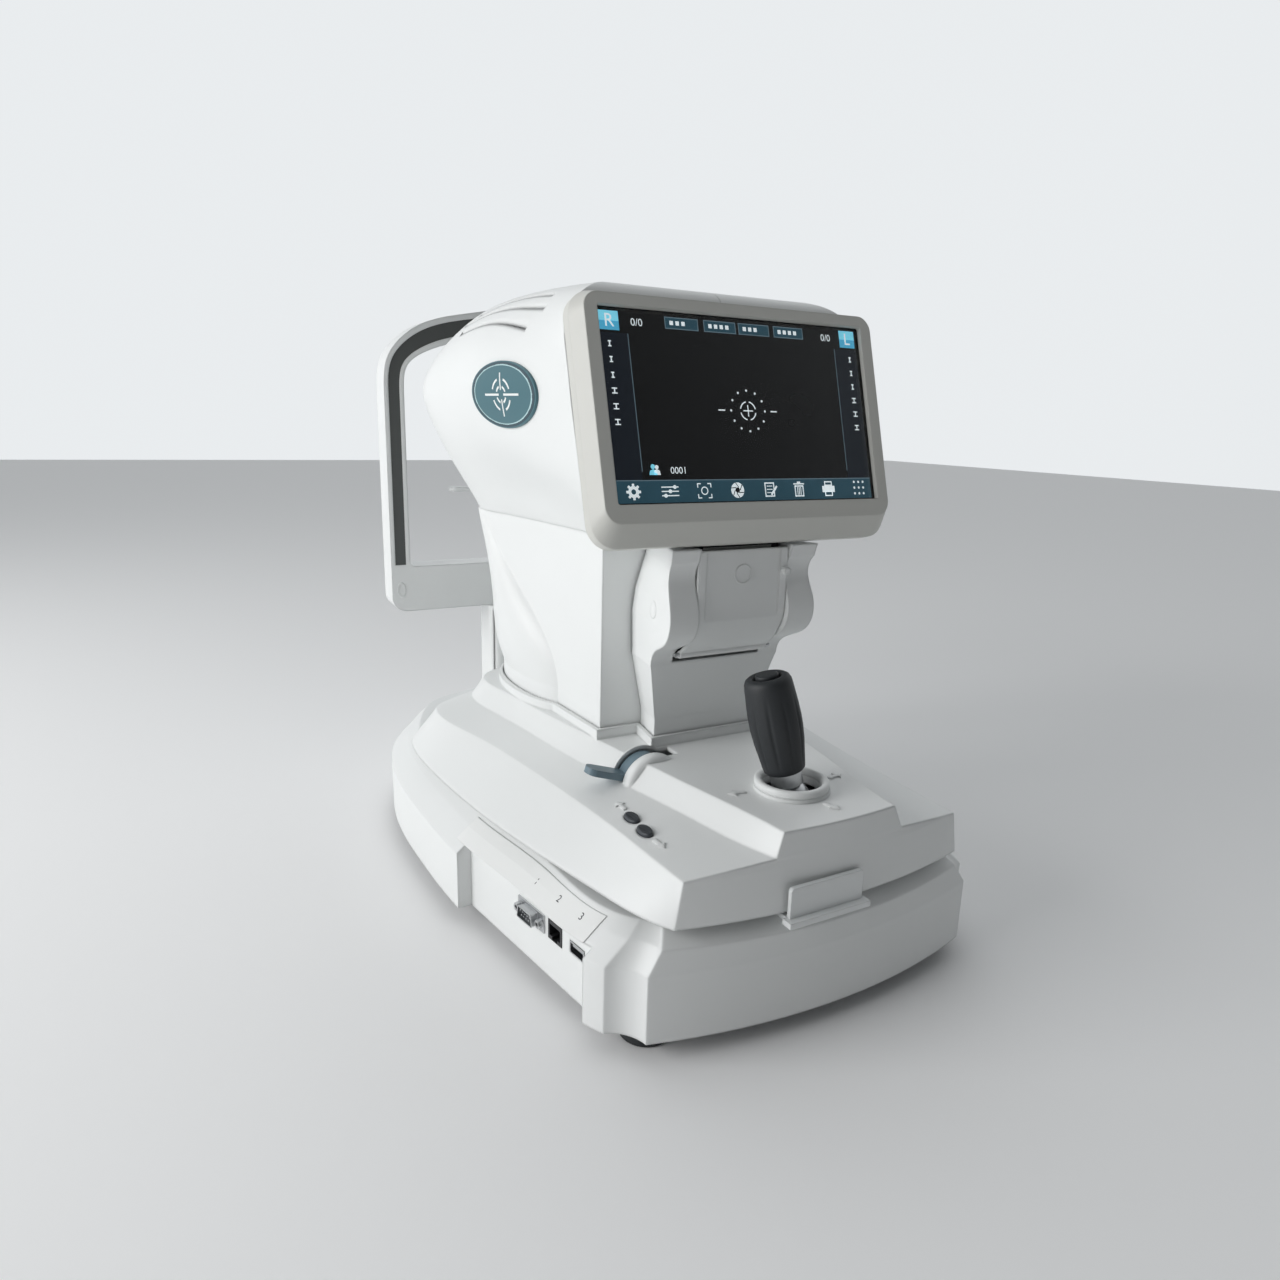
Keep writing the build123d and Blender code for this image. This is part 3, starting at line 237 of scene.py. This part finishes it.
def studio_sky():
    """Soft room light: bright behind the machine, dim on the operator's side."""
    world = bpy.data.worlds.new("studio")
    world.use_nodes = True
    tree = world.node_tree
    background = tree.nodes["Background"]
    background.inputs["Color"].default_value = (0.95, 0.98, 1.0, 1)
    place = tree.nodes.new("ShaderNodeTexCoord")
    facing = tree.nodes.new("ShaderNodeVectorMath")
    facing.operation = "DOT_PRODUCT"
    facing.inputs[1].default_value = BRIGHT_SIDE
    link(tree, place, "Generated", facing, 0)
    level = tree.nodes.new("ShaderNodeMapRange")
    level.interpolation_type = "SMOOTHSTEP"
    level.inputs["From Min"].default_value = -0.5
    level.inputs["From Max"].default_value = 0.85
    level.inputs["To Min"].default_value = SKY_DIM
    level.inputs["To Max"].default_value = SKY_BRIGHT
    link(tree, facing, "Value", level, "Value")
    link(tree, level, "Result", background, "Strength")
    bpy.context.scene.world = world


place_camera()
floor_sheet()
lamp("key", (-2.0, 0.12, 0.85), (0, 0, 0.2), (1.5, 1.2), 30)
studio_sky()
bpy.context.scene.view_settings.view_transform = "Standard"

# ---------------------------------------------------------------- places taken from the frame
TILT = math.radians(16.1)
RISE = Vector((0, math.sin(TILT), math.cos(TILT)))
OUTWARD = Vector((0, -math.cos(TILT), math.sin(TILT)))
JOINTS = {entry["name"]: entry for entry in frame["record"]["behaviour"]["joints"]}
TREES = {}              # one search tree per CAD node, made when first asked for
NUDGES = (0, 0.00007, -0.00011, 0.00023)      # a ray that slips between two triangles is tried again


def middle(node):
    low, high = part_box(node)
    return (Vector(low) + Vector(high)) / 2


def surface(node, start, direction):
    """Point where a ray first meets a CAD node at rest."""
    if node not in TREES:
        mesh = frame["nodes"][node].data
        TREES[node] = BVHTree.FromPolygons([v.co for v in mesh.vertices],
                                           [p.vertices for p in mesh.polygons])
    for nudge in NUDGES:
        origin = Vector(start) + Vector((nudge, nudge, nudge))
        point = TREES[node].ray_cast(origin, Vector(direction))[0]
        if point:
            return point
    return Vector(start)


LCD_HALF_THICK = 2.45 * MM
LCD_FRONT = middle("lcd_panel") + OUTWARD * LCD_HALF_THICK


def on_screen(x, up, out):
    """Place on the display, in millimetres from its middle."""
    return LCD_FRONT + Vector((x * MM, 0, 0)) + RISE * (up * MM) + OUTWARD * (out * MM)


# ---------------------------------------------------------------- flat drawings
class Drawing:
    """Thin flat shapes on some surface, gathered in one mesh."""

    def __init__(self, name, place, tints, step=0.02):
        self.name, self.place, self.tints, self.step = name, place, tints, step
        self.points, self.faces, self.marks = [], [], []

    def shape(self, outline, tint, layer=1):
        start = len(self.points)
        self.points += [self.place(x, y, layer * self.step) for x, y in outline]
        self.faces.append(tuple(range(start, len(self.points))))
        self.marks.append(list(self.tints).index(tint))

    def bar(self, x0, y0, x1, y1, tint, layer=1):
        self.shape([(x0, y0), (x1, y0), (x1, y1), (x0, y1)], tint, layer)

    def line(self, x0, y0, x1, y1, width, tint, layer=1):
        run = math.hypot(x1 - x0, y1 - y0)
        dx, dy = -(y1 - y0) / run * width / 2, (x1 - x0) / run * width / 2
        self.shape([(x0 - dx, y0 - dy), (x1 - dx, y1 - dy), (x1 + dx, y1 + dy), (x0 + dx, y0 + dy)],
                   tint, layer)

    def disc(self, x, y, radius, tint, layer=1, sides=20):
        turns = [2 * math.pi * i / sides for i in range(sides)]
        self.shape([(x + radius * math.cos(t), y + radius * math.sin(t)) for t in turns], tint, layer)

    def arc(self, x, y, radius, width, tint, layer=1, start=0, end=360, flat=1.0):
        steps = max(4, int((end - start) / 9))
        turns = [math.radians(start + (end - start) * i / steps) for i in range(steps + 1)]
        for a, b in zip(turns, turns[1:]):
            corners = [(radius, a), (radius, b), (radius + width, b), (radius + width, a)]
            self.shape([(x + r * math.cos(t), y + r * flat * math.sin(t)) for r, t in corners], tint, layer)

    def frame(self, x0, y0, x1, y1, width, tint, layer=1):
        self.bar(x0, y0, x1, y0 + width, tint, layer)
        self.bar(x0, y1 - width, x1, y1, tint, layer)
        self.bar(x0, y0, x0 + width, y1, tint, layer)
        self.bar(x1 - width, y0, x1, y1, tint, layer)

    def text(self, letters, x, y, height, tint, layer=2):
        curve = bpy.data.curves.new(self.name, "FONT")
        curve.body = letters
        curve.size = height * 1.4
        curve.align_x, curve.align_y = "CENTER", "CENTER"
        holder = bpy.data.objects.new("letters", curve)
        bpy.context.collection.objects.link(holder)
        mesh = bpy.data.meshes.new_from_object(holder)
        for polygon in mesh.polygons:
            places = [mesh.vertices[i].co for i in polygon.vertices]
            self.shape([(x + place.x, y + place.y) for place in places], tint, layer)
        bpy.data.objects.remove(holder)
        bpy.data.meshes.remove(mesh)
        bpy.data.curves.remove(curve)

    def build(self, body, slot):
        made = new_piece(self.name, self.points, self.faces, body, slot, smooth=False)
        made.data.materials.clear()
        for tint in self.tints.values():
            made.data.materials.append(tint)
        for polygon, mark in zip(made.data.polygons, self.marks):
            polygon.material_index = mark
        return made


def new_piece(name, points, faces, body, slot, smooth=True):
    mesh = bpy.data.meshes.new(name)
    mesh.from_pydata([tuple(p) for p in points], [], faces)
    mesh.polygons.foreach_set("use_smooth", [smooth] * len(faces))
    mesh.materials.append(materials[slot])
    made = bpy.data.objects.new(name, mesh)
    bpy.context.collection.objects.link(made)
    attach(made, body)
    return made


def rows_to_faces(rows, count, closed=True):
    """Quads between consecutive rings of count points."""
    faces = []
    for r in range(rows - 1):
        for i in range(count if closed else count - 1):
            j = (i + 1) % count
            faces.append((r * count + i, r * count + j, (r + 1) * count + j, (r + 1) * count + i))
    return faces


# ---------------------------------------------------------------- display
MARKS = {
    # tint: colour, strength of its glow
    "pale": ((0.80, 0.86, 0.88), 0.75),
    "navy": ((0.003, 0.006, 0.012), 0.6),
    "teal": ((0.016, 0.055, 0.078), 0.8),
    "cyan": ((0.06, 0.33, 0.50), 0.9),
    "sky": ((0.20, 0.62, 0.78), 0.8),
    "rule": ((0.10, 0.15, 0.18), 0.8),
    "dark": ((0.004, 0.006, 0.01), 0.2),
}
TARGET_X = 2.5          # the aiming mark stands this far right of the middle, in mm


def display():
    """Measuring picture in millimetres from the middle of the display: side columns, buttons and target."""
    tints = {tint: glow("mark_" + tint, colour, strength) for tint, (colour, strength) in MARKS.items()}
    ui = Drawing("display_picture", on_screen, tints)
    half_w, half_h, bar_top, column = 98.0, 57.3, -43.5, 19.0
    for side in (-1, 1):
        ui.bar(side * half_w, bar_top, side * (half_w - column), 44, "navy")
        ui.bar(side * (half_w - column), bar_top + 5, side * (half_w - column - 0.5), 44, "rule", 2)
        ui.bar(side * half_w * 0.99, 45.5, side * 84, 57, "cyan", 1)
        ui.bar(side * half_w * 0.99, 51, side * 84, 57, "sky", 2)
        ui.text("R" if side < 0 else "L", side * 90.5, 51, 8, "pale", 3)
        ui.text("0/0", side * 72, 51, 4.6, "pale")
        for row in range(6):
            y = 37.5 - 9.3 * row
            width = 2.2 if row < 3 else 3.6
            ui.bar(side * 91.5 - width / 2, y - 1.9, side * 91.5 + width / 2, y - 1.2, "pale", 2)
            ui.bar(side * 91.5 - width / 2, y + 1.0, side * 91.5 + width / 2, y + 1.7, "pale", 2)
            ui.bar(side * 91.5 - 0.4, y - 1.9, side * 91.5 + 0.4, y + 1.7, "pale", 2)
    for index, x in enumerate((-40.5, -12.5, 13.5, 41)):
        ui.frame(x - 12, 48.8, x + 12, 56.2, 0.6, "rule", 2)
        ui.bar(x - 11.4, 49.4, x + 11.4, 55.6, "teal", 1)
        for mark in range(3 + index % 2):
            ui.bar(x - 8.5 + mark * 4.2, 51.3, x - 6.0 + mark * 4.2, 53.9, "pale", 2)
    for start in (12, 102, 192, 282):
        ui.arc(TARGET_X, 0, 5.4, 0.8, "pale", 2, start, start + 66)
    ui.bar(-1.2, -0.35, 6.2, 0.35, "pale", 2)
    ui.bar(2.15, -3.7, 2.85, 3.7, "pale", 2)
    for turn in range(12):
        angle = math.radians(turn * 30)
        ui.disc(TARGET_X + 13.0 * math.cos(angle), 13.0 * math.sin(angle), 0.75, "pale", 2, 10)
    for side in (-1, 1):
        ui.bar(TARGET_X + side * 17.5, -0.4, TARGET_X + side * 22.5, 0.4, "pale", 2)
    ui.bar(-half_w, -half_h, half_w, bar_top, "teal", 2)
    ui.bar(-half_w, bar_top - 0.6, half_w, bar_top, "rule", 3)
    people(ui, -70.5, -37.5)
    ui.text("0001", -53.5, -38.0, 4.2, "pale")
    toolbar(ui, -50.5)
    return ui.build("head", "screen_image")


def people(ui, x, y):
    """Two heads and shoulders beside the patient's number."""
    for dx, size, tint in ((1.8, 0.85, "pale"), (-0.8, 1.0, "sky")):
        ui.disc(x + dx, y + 2.0 * size, 1.5 * size, tint, 2)
        ui.shape([(x + dx - 2.8 * size, y - 3), (x + dx + 2.8 * size, y - 3), (x + dx + 2.2 * size, y - 0.4),
                  (x + dx, y + 0.5), (x + dx - 2.2 * size, y - 0.4)], tint, 2)


def toolbar(ui, y):
    """Generic icons along the bottom: gear, sliders, target, shutter, note, bin, printer and grid."""
    x = -86.0
    for tooth in range(8):
        angle = math.radians(tooth * 45)
        ui.line(x + 2.6 * math.cos(angle), y + 2.6 * math.sin(angle), x + 4.9 * math.cos(angle),
                y + 4.9 * math.sin(angle), 1.6, "pale", 3)
    ui.arc(x, y, 1.6, 1.9, "pale", 4)
    x = -61.0
    for row in (-2.6, 0, 2.6):
        ui.bar(x - 6, y + row - 0.35, x + 6, y + row + 0.35, "pale", 3)
        ui.disc(x + row * 1.3, y + row, 1.2, "pale", 4)
    x = -36.5
    for sx in (-1, 1):
        for sy in (-1, 1):
            ui.line(x + sx * 4.8, y + sy * 4.4, x + sx * 2.4, y + sy * 4.4, 0.7, "pale", 3)
            ui.line(x + sx * 4.8, y + sy * 4.6, x + sx * 4.8, y + sy * 2.0, 0.7, "pale", 3)
    ui.arc(x, y, 1.9, 0.7, "pale", 3)
    x = -12.0
    ui.disc(x, y, 4.9, "pale", 3, 28)
    for blade in range(6):
        angle = math.radians(blade * 60)
        ui.line(x + 1.9 * math.cos(angle), y + 1.9 * math.sin(angle), x + 4.8 * math.cos(angle + 0.75),
                y + 4.8 * math.sin(angle + 0.75), 0.6, "dark", 4)
    ui.disc(x, y, 1.7, "dark", 4)
    x = 13.0
    ui.frame(x - 4.0, y - 4.6, x + 3.6, y + 4.6, 0.8, "pale", 3)
    for row in range(3):
        ui.bar(x - 2.4, y + 2.0 - row * 2.1, x + 2.0, y + 2.5 - row * 2.1, "pale", 3)
    ui.line(x + 0.8, y - 3.4, x + 5.6, y + 2.2, 1.3, "pale", 4)
    x = 36.5
    ui.bar(x - 4.4, y + 3.0, x + 4.4, y + 3.8, "pale", 3)
    ui.bar(x - 1.4, y + 3.8, x + 1.4, y + 4.9, "pale", 3)
    ui.frame(x - 3.6, y - 4.9, x + 3.6, y + 2.4, 0.8, "pale", 3)
    for mark in (-1.3, 0, 1.3):
        ui.bar(x + mark - 0.3, y - 3.8, x + mark + 0.3, y + 1.4, "pale", 3)
    x = 61.0
    ui.bar(x - 5.2, y - 2.4, x + 5.2, y + 1.8, "pale", 3)
    ui.frame(x - 3.2, y + 1.8, x + 3.2, y + 4.9, 0.8, "pale", 3)
    ui.bar(x - 3.2, y - 5.0, x + 3.2, y - 1.6, "teal", 4)
    ui.frame(x - 3.2, y - 5.0, x + 3.2, y - 1.6, 0.7, "pale", 5)
    for column in range(3):
        for row in range(3):
            ui.disc(83.5 + column * 3.9, y - 3.6 + row * 3.9, 0.85, "pale", 3, 8)


# ---------------------------------------------------------------- badge
BADGE_STEPS = 72


def badge_faces():
    """Dark ring of painted shade for the groove around each oval plate, then a pale ring and a plain
    eye-chart cross, laid on the plate's own curve.
    """
    tints = {"ring": coloured("badge_ring", (0.42, 0.60, 0.62)),
             "mark": coloured("badge_mark", (0.80, 0.83, 0.82)),
             # the dark tint is painted shade of the groove around the plate, a darker copy of the plate's
             # teal
             "groove_shade": coloured("badge_groove_shade", (0.035, 0.07, 0.09))}
    low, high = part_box("badges")
    centre = middle("badges")
    half_y, half_z = (high[1] - low[1]) / 2 / MM, (high[2] - low[2]) / 2 / MM
    for side, name in ((-1, "badge_face_left"), (1, "badge_face_right")):
        def on_plate(u, v, out, side=side):
            start = Vector((side * 0.3, centre.y + u * MM, centre.z + v * MM))
            return surface("badges", start, (-side, 0, 0)) + Vector((side * out * MM, 0, 0))
        face = Drawing(name, on_plate, tints, step=0.12)
        # the outer, dark ring is painted shade of the groove at the plate's edge; the inner pale ring is
        # print
        for width, reach, tint in ((1.6, 0.965, "groove_shade"), (0.8, 0.90, "ring")):
            for index in range(BADGE_STEPS):
                a, b = [2 * math.pi * (index + k) / BADGE_STEPS for k in (0, 1)]
                corners = [(reach, a), (reach, b), (reach - width / half_z, b), (reach - width / half_z, a)]
                face.shape([(r * half_y * math.cos(t), r * half_z * math.sin(t)) for r, t in corners], tint)
        for radius in (5.0, 10.5):
            for start in (20, 110, 200, 290):
                face.arc(0, 0, radius, 1.6, "mark", 1, start, start + 50, 0.9)
        for u, v in ((1, 0), (0, 1)):
            for sign in (-1, 1):
                near, far = 3, 22 if u else 14
                for step in range(4):
                    a, b = [(near + (far - near) * (step + k) / 4) * sign for k in (0, 1)]
                    face.line(a * u, a * v, b * u, b * v, 1.4, "mark", 1)
        face.build("head", "badge_teal")


def coloured(name, colour):
    """Printed or painted mark with a little unevenness."""
    FINISHES[name] = (colour, 0.4, 0.0, 900, 0.05, 0.06)
    return finish(name)


# ---------------------------------------------------------------- joystick
def joystick_grip():
    """Rubber grip with shallow finger flutes, built on the twist joint's own axis."""
    twist = JOINTS["height_twist"]
    base, axis = Vector(twist["pos_m"]), Vector(twist["axis"]).normalized()
    side = axis.orthogonal().normalized()
    turn = Matrix((side, axis.cross(side), axis)).transposed()
    profile = [(10.0, 20.9), (12.2, 20.9), (13.1, 22.0), (13.6, 25), (14.4, 31), (15.7, 40), (16.4, 49),
               (16.5, 56), (16.1, 64), (15.5, 71), (15.1, 76), (14.7, 79.3), (13.6, 81.6), (12.0, 82.7),
               (10.0, 82.9), (9.0, 82.4), (8.5, 80.5)]        # radius and height above the joint, in mm
    around, flutes, depth = 120, 10, 0.9
    flutes_middle, flutes_half = 47, 21
    points = []
    for radius, height in profile:
        cover = max(0.0, 1 - ((height - flutes_middle) / flutes_half) ** 4)
        for step in range(around):
            angle = 2 * math.pi * step / around
            wave = max(0.0, math.cos(flutes * angle)) ** 6
            r = (radius - depth * cover * wave) * MM
            points.append(base + turn @ Vector((r * math.cos(angle), r * math.sin(angle), height * MM)))
    grip = new_piece("grip_rubber", points, rows_to_faces(len(profile), around), "grip", "black_rubber")
    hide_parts("joystick_grip")


# ---------------------------------------------------------------- small raised marks
SUNK = 0.3              # raised marks start this far inside the surface, in mm


def raised(name, node, body, slot, outlines, height):
    """Low raised shapes on the top of a CAD node. An outline is in millimetres in the frame's X and Y."""
    direction = Vector((0, 0, -1))
    points, faces = [], []
    for outline in outlines:
        first = len(points)
        count = len(outline)
        for lift in (-SUNK, height):
            for a, b in outline:
                origin = from_above(a, b)
                points.append(surface(node, origin, direction) - direction * (lift * MM))
        faces.append(tuple(range(first + count, first + 2 * count)))
        for i in range(count):
            j = (i + 1) % count
            faces.append((first + i, first + j, first + count + j, first + count + i))
    return new_piece(name, points, faces, body, slot, smooth=False)


def from_above(x, y):
    """Start of a ray that falls on the stage cover from clear of it."""
    return Vector((x * MM, y * MM, 0.16))


def arrow_outline(x, y, heading, width=7.0, length=12.0):
    """Block arrow in plan, heading in degrees from +X."""
    c, s = math.cos(math.radians(heading)), math.sin(math.radians(heading))
    neck, shaft = length * 0.08, width * 0.2
    shape = [(-length / 2, -shaft), (neck, -shaft), (neck, -width / 2), (length / 2, 0),
             (neck, width / 2), (neck, shaft), (-length / 2, shaft)]
    return [(x + a * c - b * s, y + a * s + b * c) for a, b in shape]


def cover_marks():
    """Embossed arrows: two beside the chin keys, three around the joystick."""
    ring = middle("joystick_ring") / MM
    up_key, down_key = middle("chin_up_button") / MM, middle("chin_down_button") / MM
    outlines = [arrow_outline(up_key.x + 1.2, up_key.y + 17.5, 92),
                arrow_outline(down_key.x + 0.2, down_key.y - 17, -88),
                arrow_outline(ring.x - 36, ring.y + 8, 165, 8),
                arrow_outline(ring.x + 5, ring.y - 33, -80, 8),
                arrow_outline(ring.x + 38, ring.y + 3, 10, 8)]
    raised("cover_arrows", "stage_cover", "stage", "white_casing", outlines, 0.8)


RIB_PITCH, RIB_HALF = 1.7, 0.4
KEY_HALF_X, KEY_HALF_Y = 3.0, 7.0       # the ribbed oval of a key


def key_ribs():
    """Fine ribs across the two oval chin keys."""
    for node, body in (("chin_up_button", "chin_up"), ("chin_down_button", "chin_down")):
        centre = middle(node) / MM
        outlines = []
        for index in range(-3, 4):
            y = centre.y + index * RIB_PITCH
            half = KEY_HALF_X * math.sqrt(max(0, 1 - (index * RIB_PITCH / KEY_HALF_Y) ** 2))
            left, right, front, back = centre.x - half, centre.x + half, y - RIB_HALF, y + RIB_HALF
            outlines.append([(left, front), (right, front), (right, back), (left, back)])
        raised(node + "_ribs", node, body, "dark_button", outlines, 0.3)


LABEL_RUN = 0.017                       # how far the label's slope runs inwards, in metres
LABEL_ALONG = (-0.165, 0.986, 0)        # direction of the label in plan
NUMBER_UP, NUMBER_TALL = 0.5, 4.6       # millimetres


def port_numbers():
    """Numerals 1 to 3 over the serial, network and USB sockets, printed on the label plate."""
    along = Vector(LABEL_ALONG).normalized()
    low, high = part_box("label_plate")
    centre = middle("label_plate")
    sideways = Vector((1, 0, 0)) - along * along.x
    slope = Vector((0, 0, high[2] - low[2])) + sideways.normalized() * LABEL_RUN
    upward = slope.normalized()
    outward = upward.cross(along).normalized()
    if outward.x > 0:
        outward.negate()
    ports = [(middle(node) - centre).dot(along) / MM for node in ("serial_port", "network_port", "usb_port")]

    def on_label(x, y, out):
        start = centre - along * (x * MM) + upward * (y * MM) + outward * 0.01
        return surface("label_plate", start, -outward) + outward * (out * MM)
    label = Drawing("port_numbers", on_label, {"ink": coloured("label_ink", (0.02, 0.022, 0.03))}, step=0.03)
    for index, place in enumerate(ports):
        label.text(str(index + 1), -place, NUMBER_UP, NUMBER_TALL, "ink")
    label.build("base", "label_white")


# ---------------------------------------------------------------- printer
CAP_PROFILE = [(6.2, -0.3), (6.1, 0.3), (5.4, 0.4), (5.0, 0.05), (2.5, 0.07), (0.05, 0.07)]   # radius, height
CAP_BEHIND, CAP_ABOVE = 0.0275, 0.0345     # from the front and the foot of the door
RING_PROFILE = [(6.9, -0.1), (6.6, 0.55), (5.8, 0.55), (5.5, -0.1)]
RING_DROP = 16.5                           # from the top of the door
PAPER_HALF_W = 0.027


def printer_details():
    """Ring on the door, round covers over the surround's screws, and the paper from roll to slot."""
    low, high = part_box("printer_door")
    ring_z = high[2] / MM - RING_DROP

    def on_door(x, z, out):
        start = Vector((x * MM, low[1] - 0.02, z * MM))
        return surface("printer_door", start, (0, 1, 0)) - Vector((0, out * MM, 0))
    points = []
    around = 40
    for radius, lift in RING_PROFILE:
        for step in range(around):
            angle = 2 * math.pi * step / around
            points.append(on_door(radius * math.cos(angle), ring_z + radius * math.sin(angle), lift))
    new_piece("door_ring", points, rows_to_faces(len(RING_PROFILE), around), "door", "white_casing")
    for side, name in ((-1, "screw_cap_left"), (1, "screw_cap_right")):
        cap_points = []
        for radius, lift in CAP_PROFILE:
            for step in range(around):
                angle = 2 * math.pi * step / around
                start = Vector((side * 0.2, low[1] + CAP_BEHIND + radius * math.cos(angle) * MM,
                                low[2] + CAP_ABOVE + radius * math.sin(angle) * MM))
                point = surface("printer_surround", start, (-side, 0, 0))
                cap_points.append(point + Vector((side * lift * MM, 0, 0)))
        new_piece(name, cap_points, rows_to_faces(len(CAP_PROFILE), around), "head", "white_casing")
    roll = middle("paper_roll")
    path = [(roll.y - 0.0195, roll.z), (roll.y - 0.024, roll.z + 0.012),
            (low[1] + 0.0105, high[2] - 0.006), (low[1] + 0.0085, high[2] + 0.001)]
    strip = [Vector((x, y, z)) for y, z in path for x in (-PAPER_HALF_W, PAPER_HALF_W)]
    quads = [(2 * i, 2 * i + 1, 2 * i + 3, 2 * i + 2) for i in range(len(path) - 1)]
    new_piece("paper_strip", strip, quads, "head", "paper")


# ---------------------------------------------------------------- forehead cushion
CUSHION_SAG = 0.0095          # the arch drops this much from its middle to the cushion's ends
CUSHION_HALF_W = 0.0072


def forehead_cushion():
    """Crowned silicone pad on the patient's side of the arch, pulled in along its edges and ends."""
    low, high = [Vector(corner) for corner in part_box("forehead_pad")]
    half, thick = (high.x - low.x) / 2 - 0.001, high.y - low.y
    crest = high.z - CUSHION_HALF_W - 0.0012
    stations, around = 48, 28
    points = []
    for index in range(stations + 1):
        x = -half * math.cos(math.pi * index / stations)
        reach = (1 - min(1.0, abs(x / half)) ** 6) ** 0.5
        middle_z = crest - CUSHION_SAG * (x / half) ** 2
        for step in range(around):
            angle = 2 * math.pi * step / around
            across, crown = math.cos(angle), math.sin(angle)
            width = CUSHION_HALF_W * (0.25 + 0.75 * reach)
            z = middle_z + width * math.copysign(abs(across) ** 0.7, across)
            rise = thick * 0.98 * max(0.0, crown) ** 0.75 * (0.2 + 0.8 * reach)
            points.append((x, low.y + rise - 0.0001, z))
    faces = rows_to_faces(stations + 1, around)
    faces += [tuple(range(around)), tuple(range(stations * around, (stations + 1) * around))]
    cushion = new_piece("forehead_cushion", points, faces, "base", "pad_rubber")
    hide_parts("forehead_pad")


# ---------------------------------------------------------------- face frame
# share of the oval, and height in mm
OVAL_PROFILE = [(1.0, -0.2), (0.98, 0.45), (0.86, 0.6), (0.78, 0.35), (0.4, 0.4), (0.01, 0.4)]
OVAL_HALF_X, OVAL_HALF_Z = 0.0042, 0.0075
OVAL_IN, OVAL_UP = 0.009, 0.021             # from the frame's side and foot


def frame_caps():
    """Oval covers over the frame's fixing screws, one on each upright, facing the operator."""
    low, high = [Vector(corner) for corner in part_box("face_frame")]
    around = 36
    for side, name in ((-1, "frame_cap_left"), (1, "frame_cap_right")):
        x = low.x + OVAL_IN if side < 0 else high.x - OVAL_IN
        points = []
        for scale, lift in OVAL_PROFILE:
            for step in range(around):
                angle = 2 * math.pi * step / around
                start = Vector((x + OVAL_HALF_X * scale * math.cos(angle), low.y - 0.05,
                                low.z + OVAL_UP + OVAL_HALF_Z * scale * math.sin(angle)))
                points.append(surface("face_frame", start, (0, 1, 0)) - Vector((0, lift * MM, 0)))
        new_piece(name, points, rows_to_faces(len(OVAL_PROFILE), around), "base", "white_casing")


display()
badge_faces()
joystick_grip()
forehead_cushion()
frame_caps()
cover_marks()
key_ribs()
port_numbers()
printer_details()
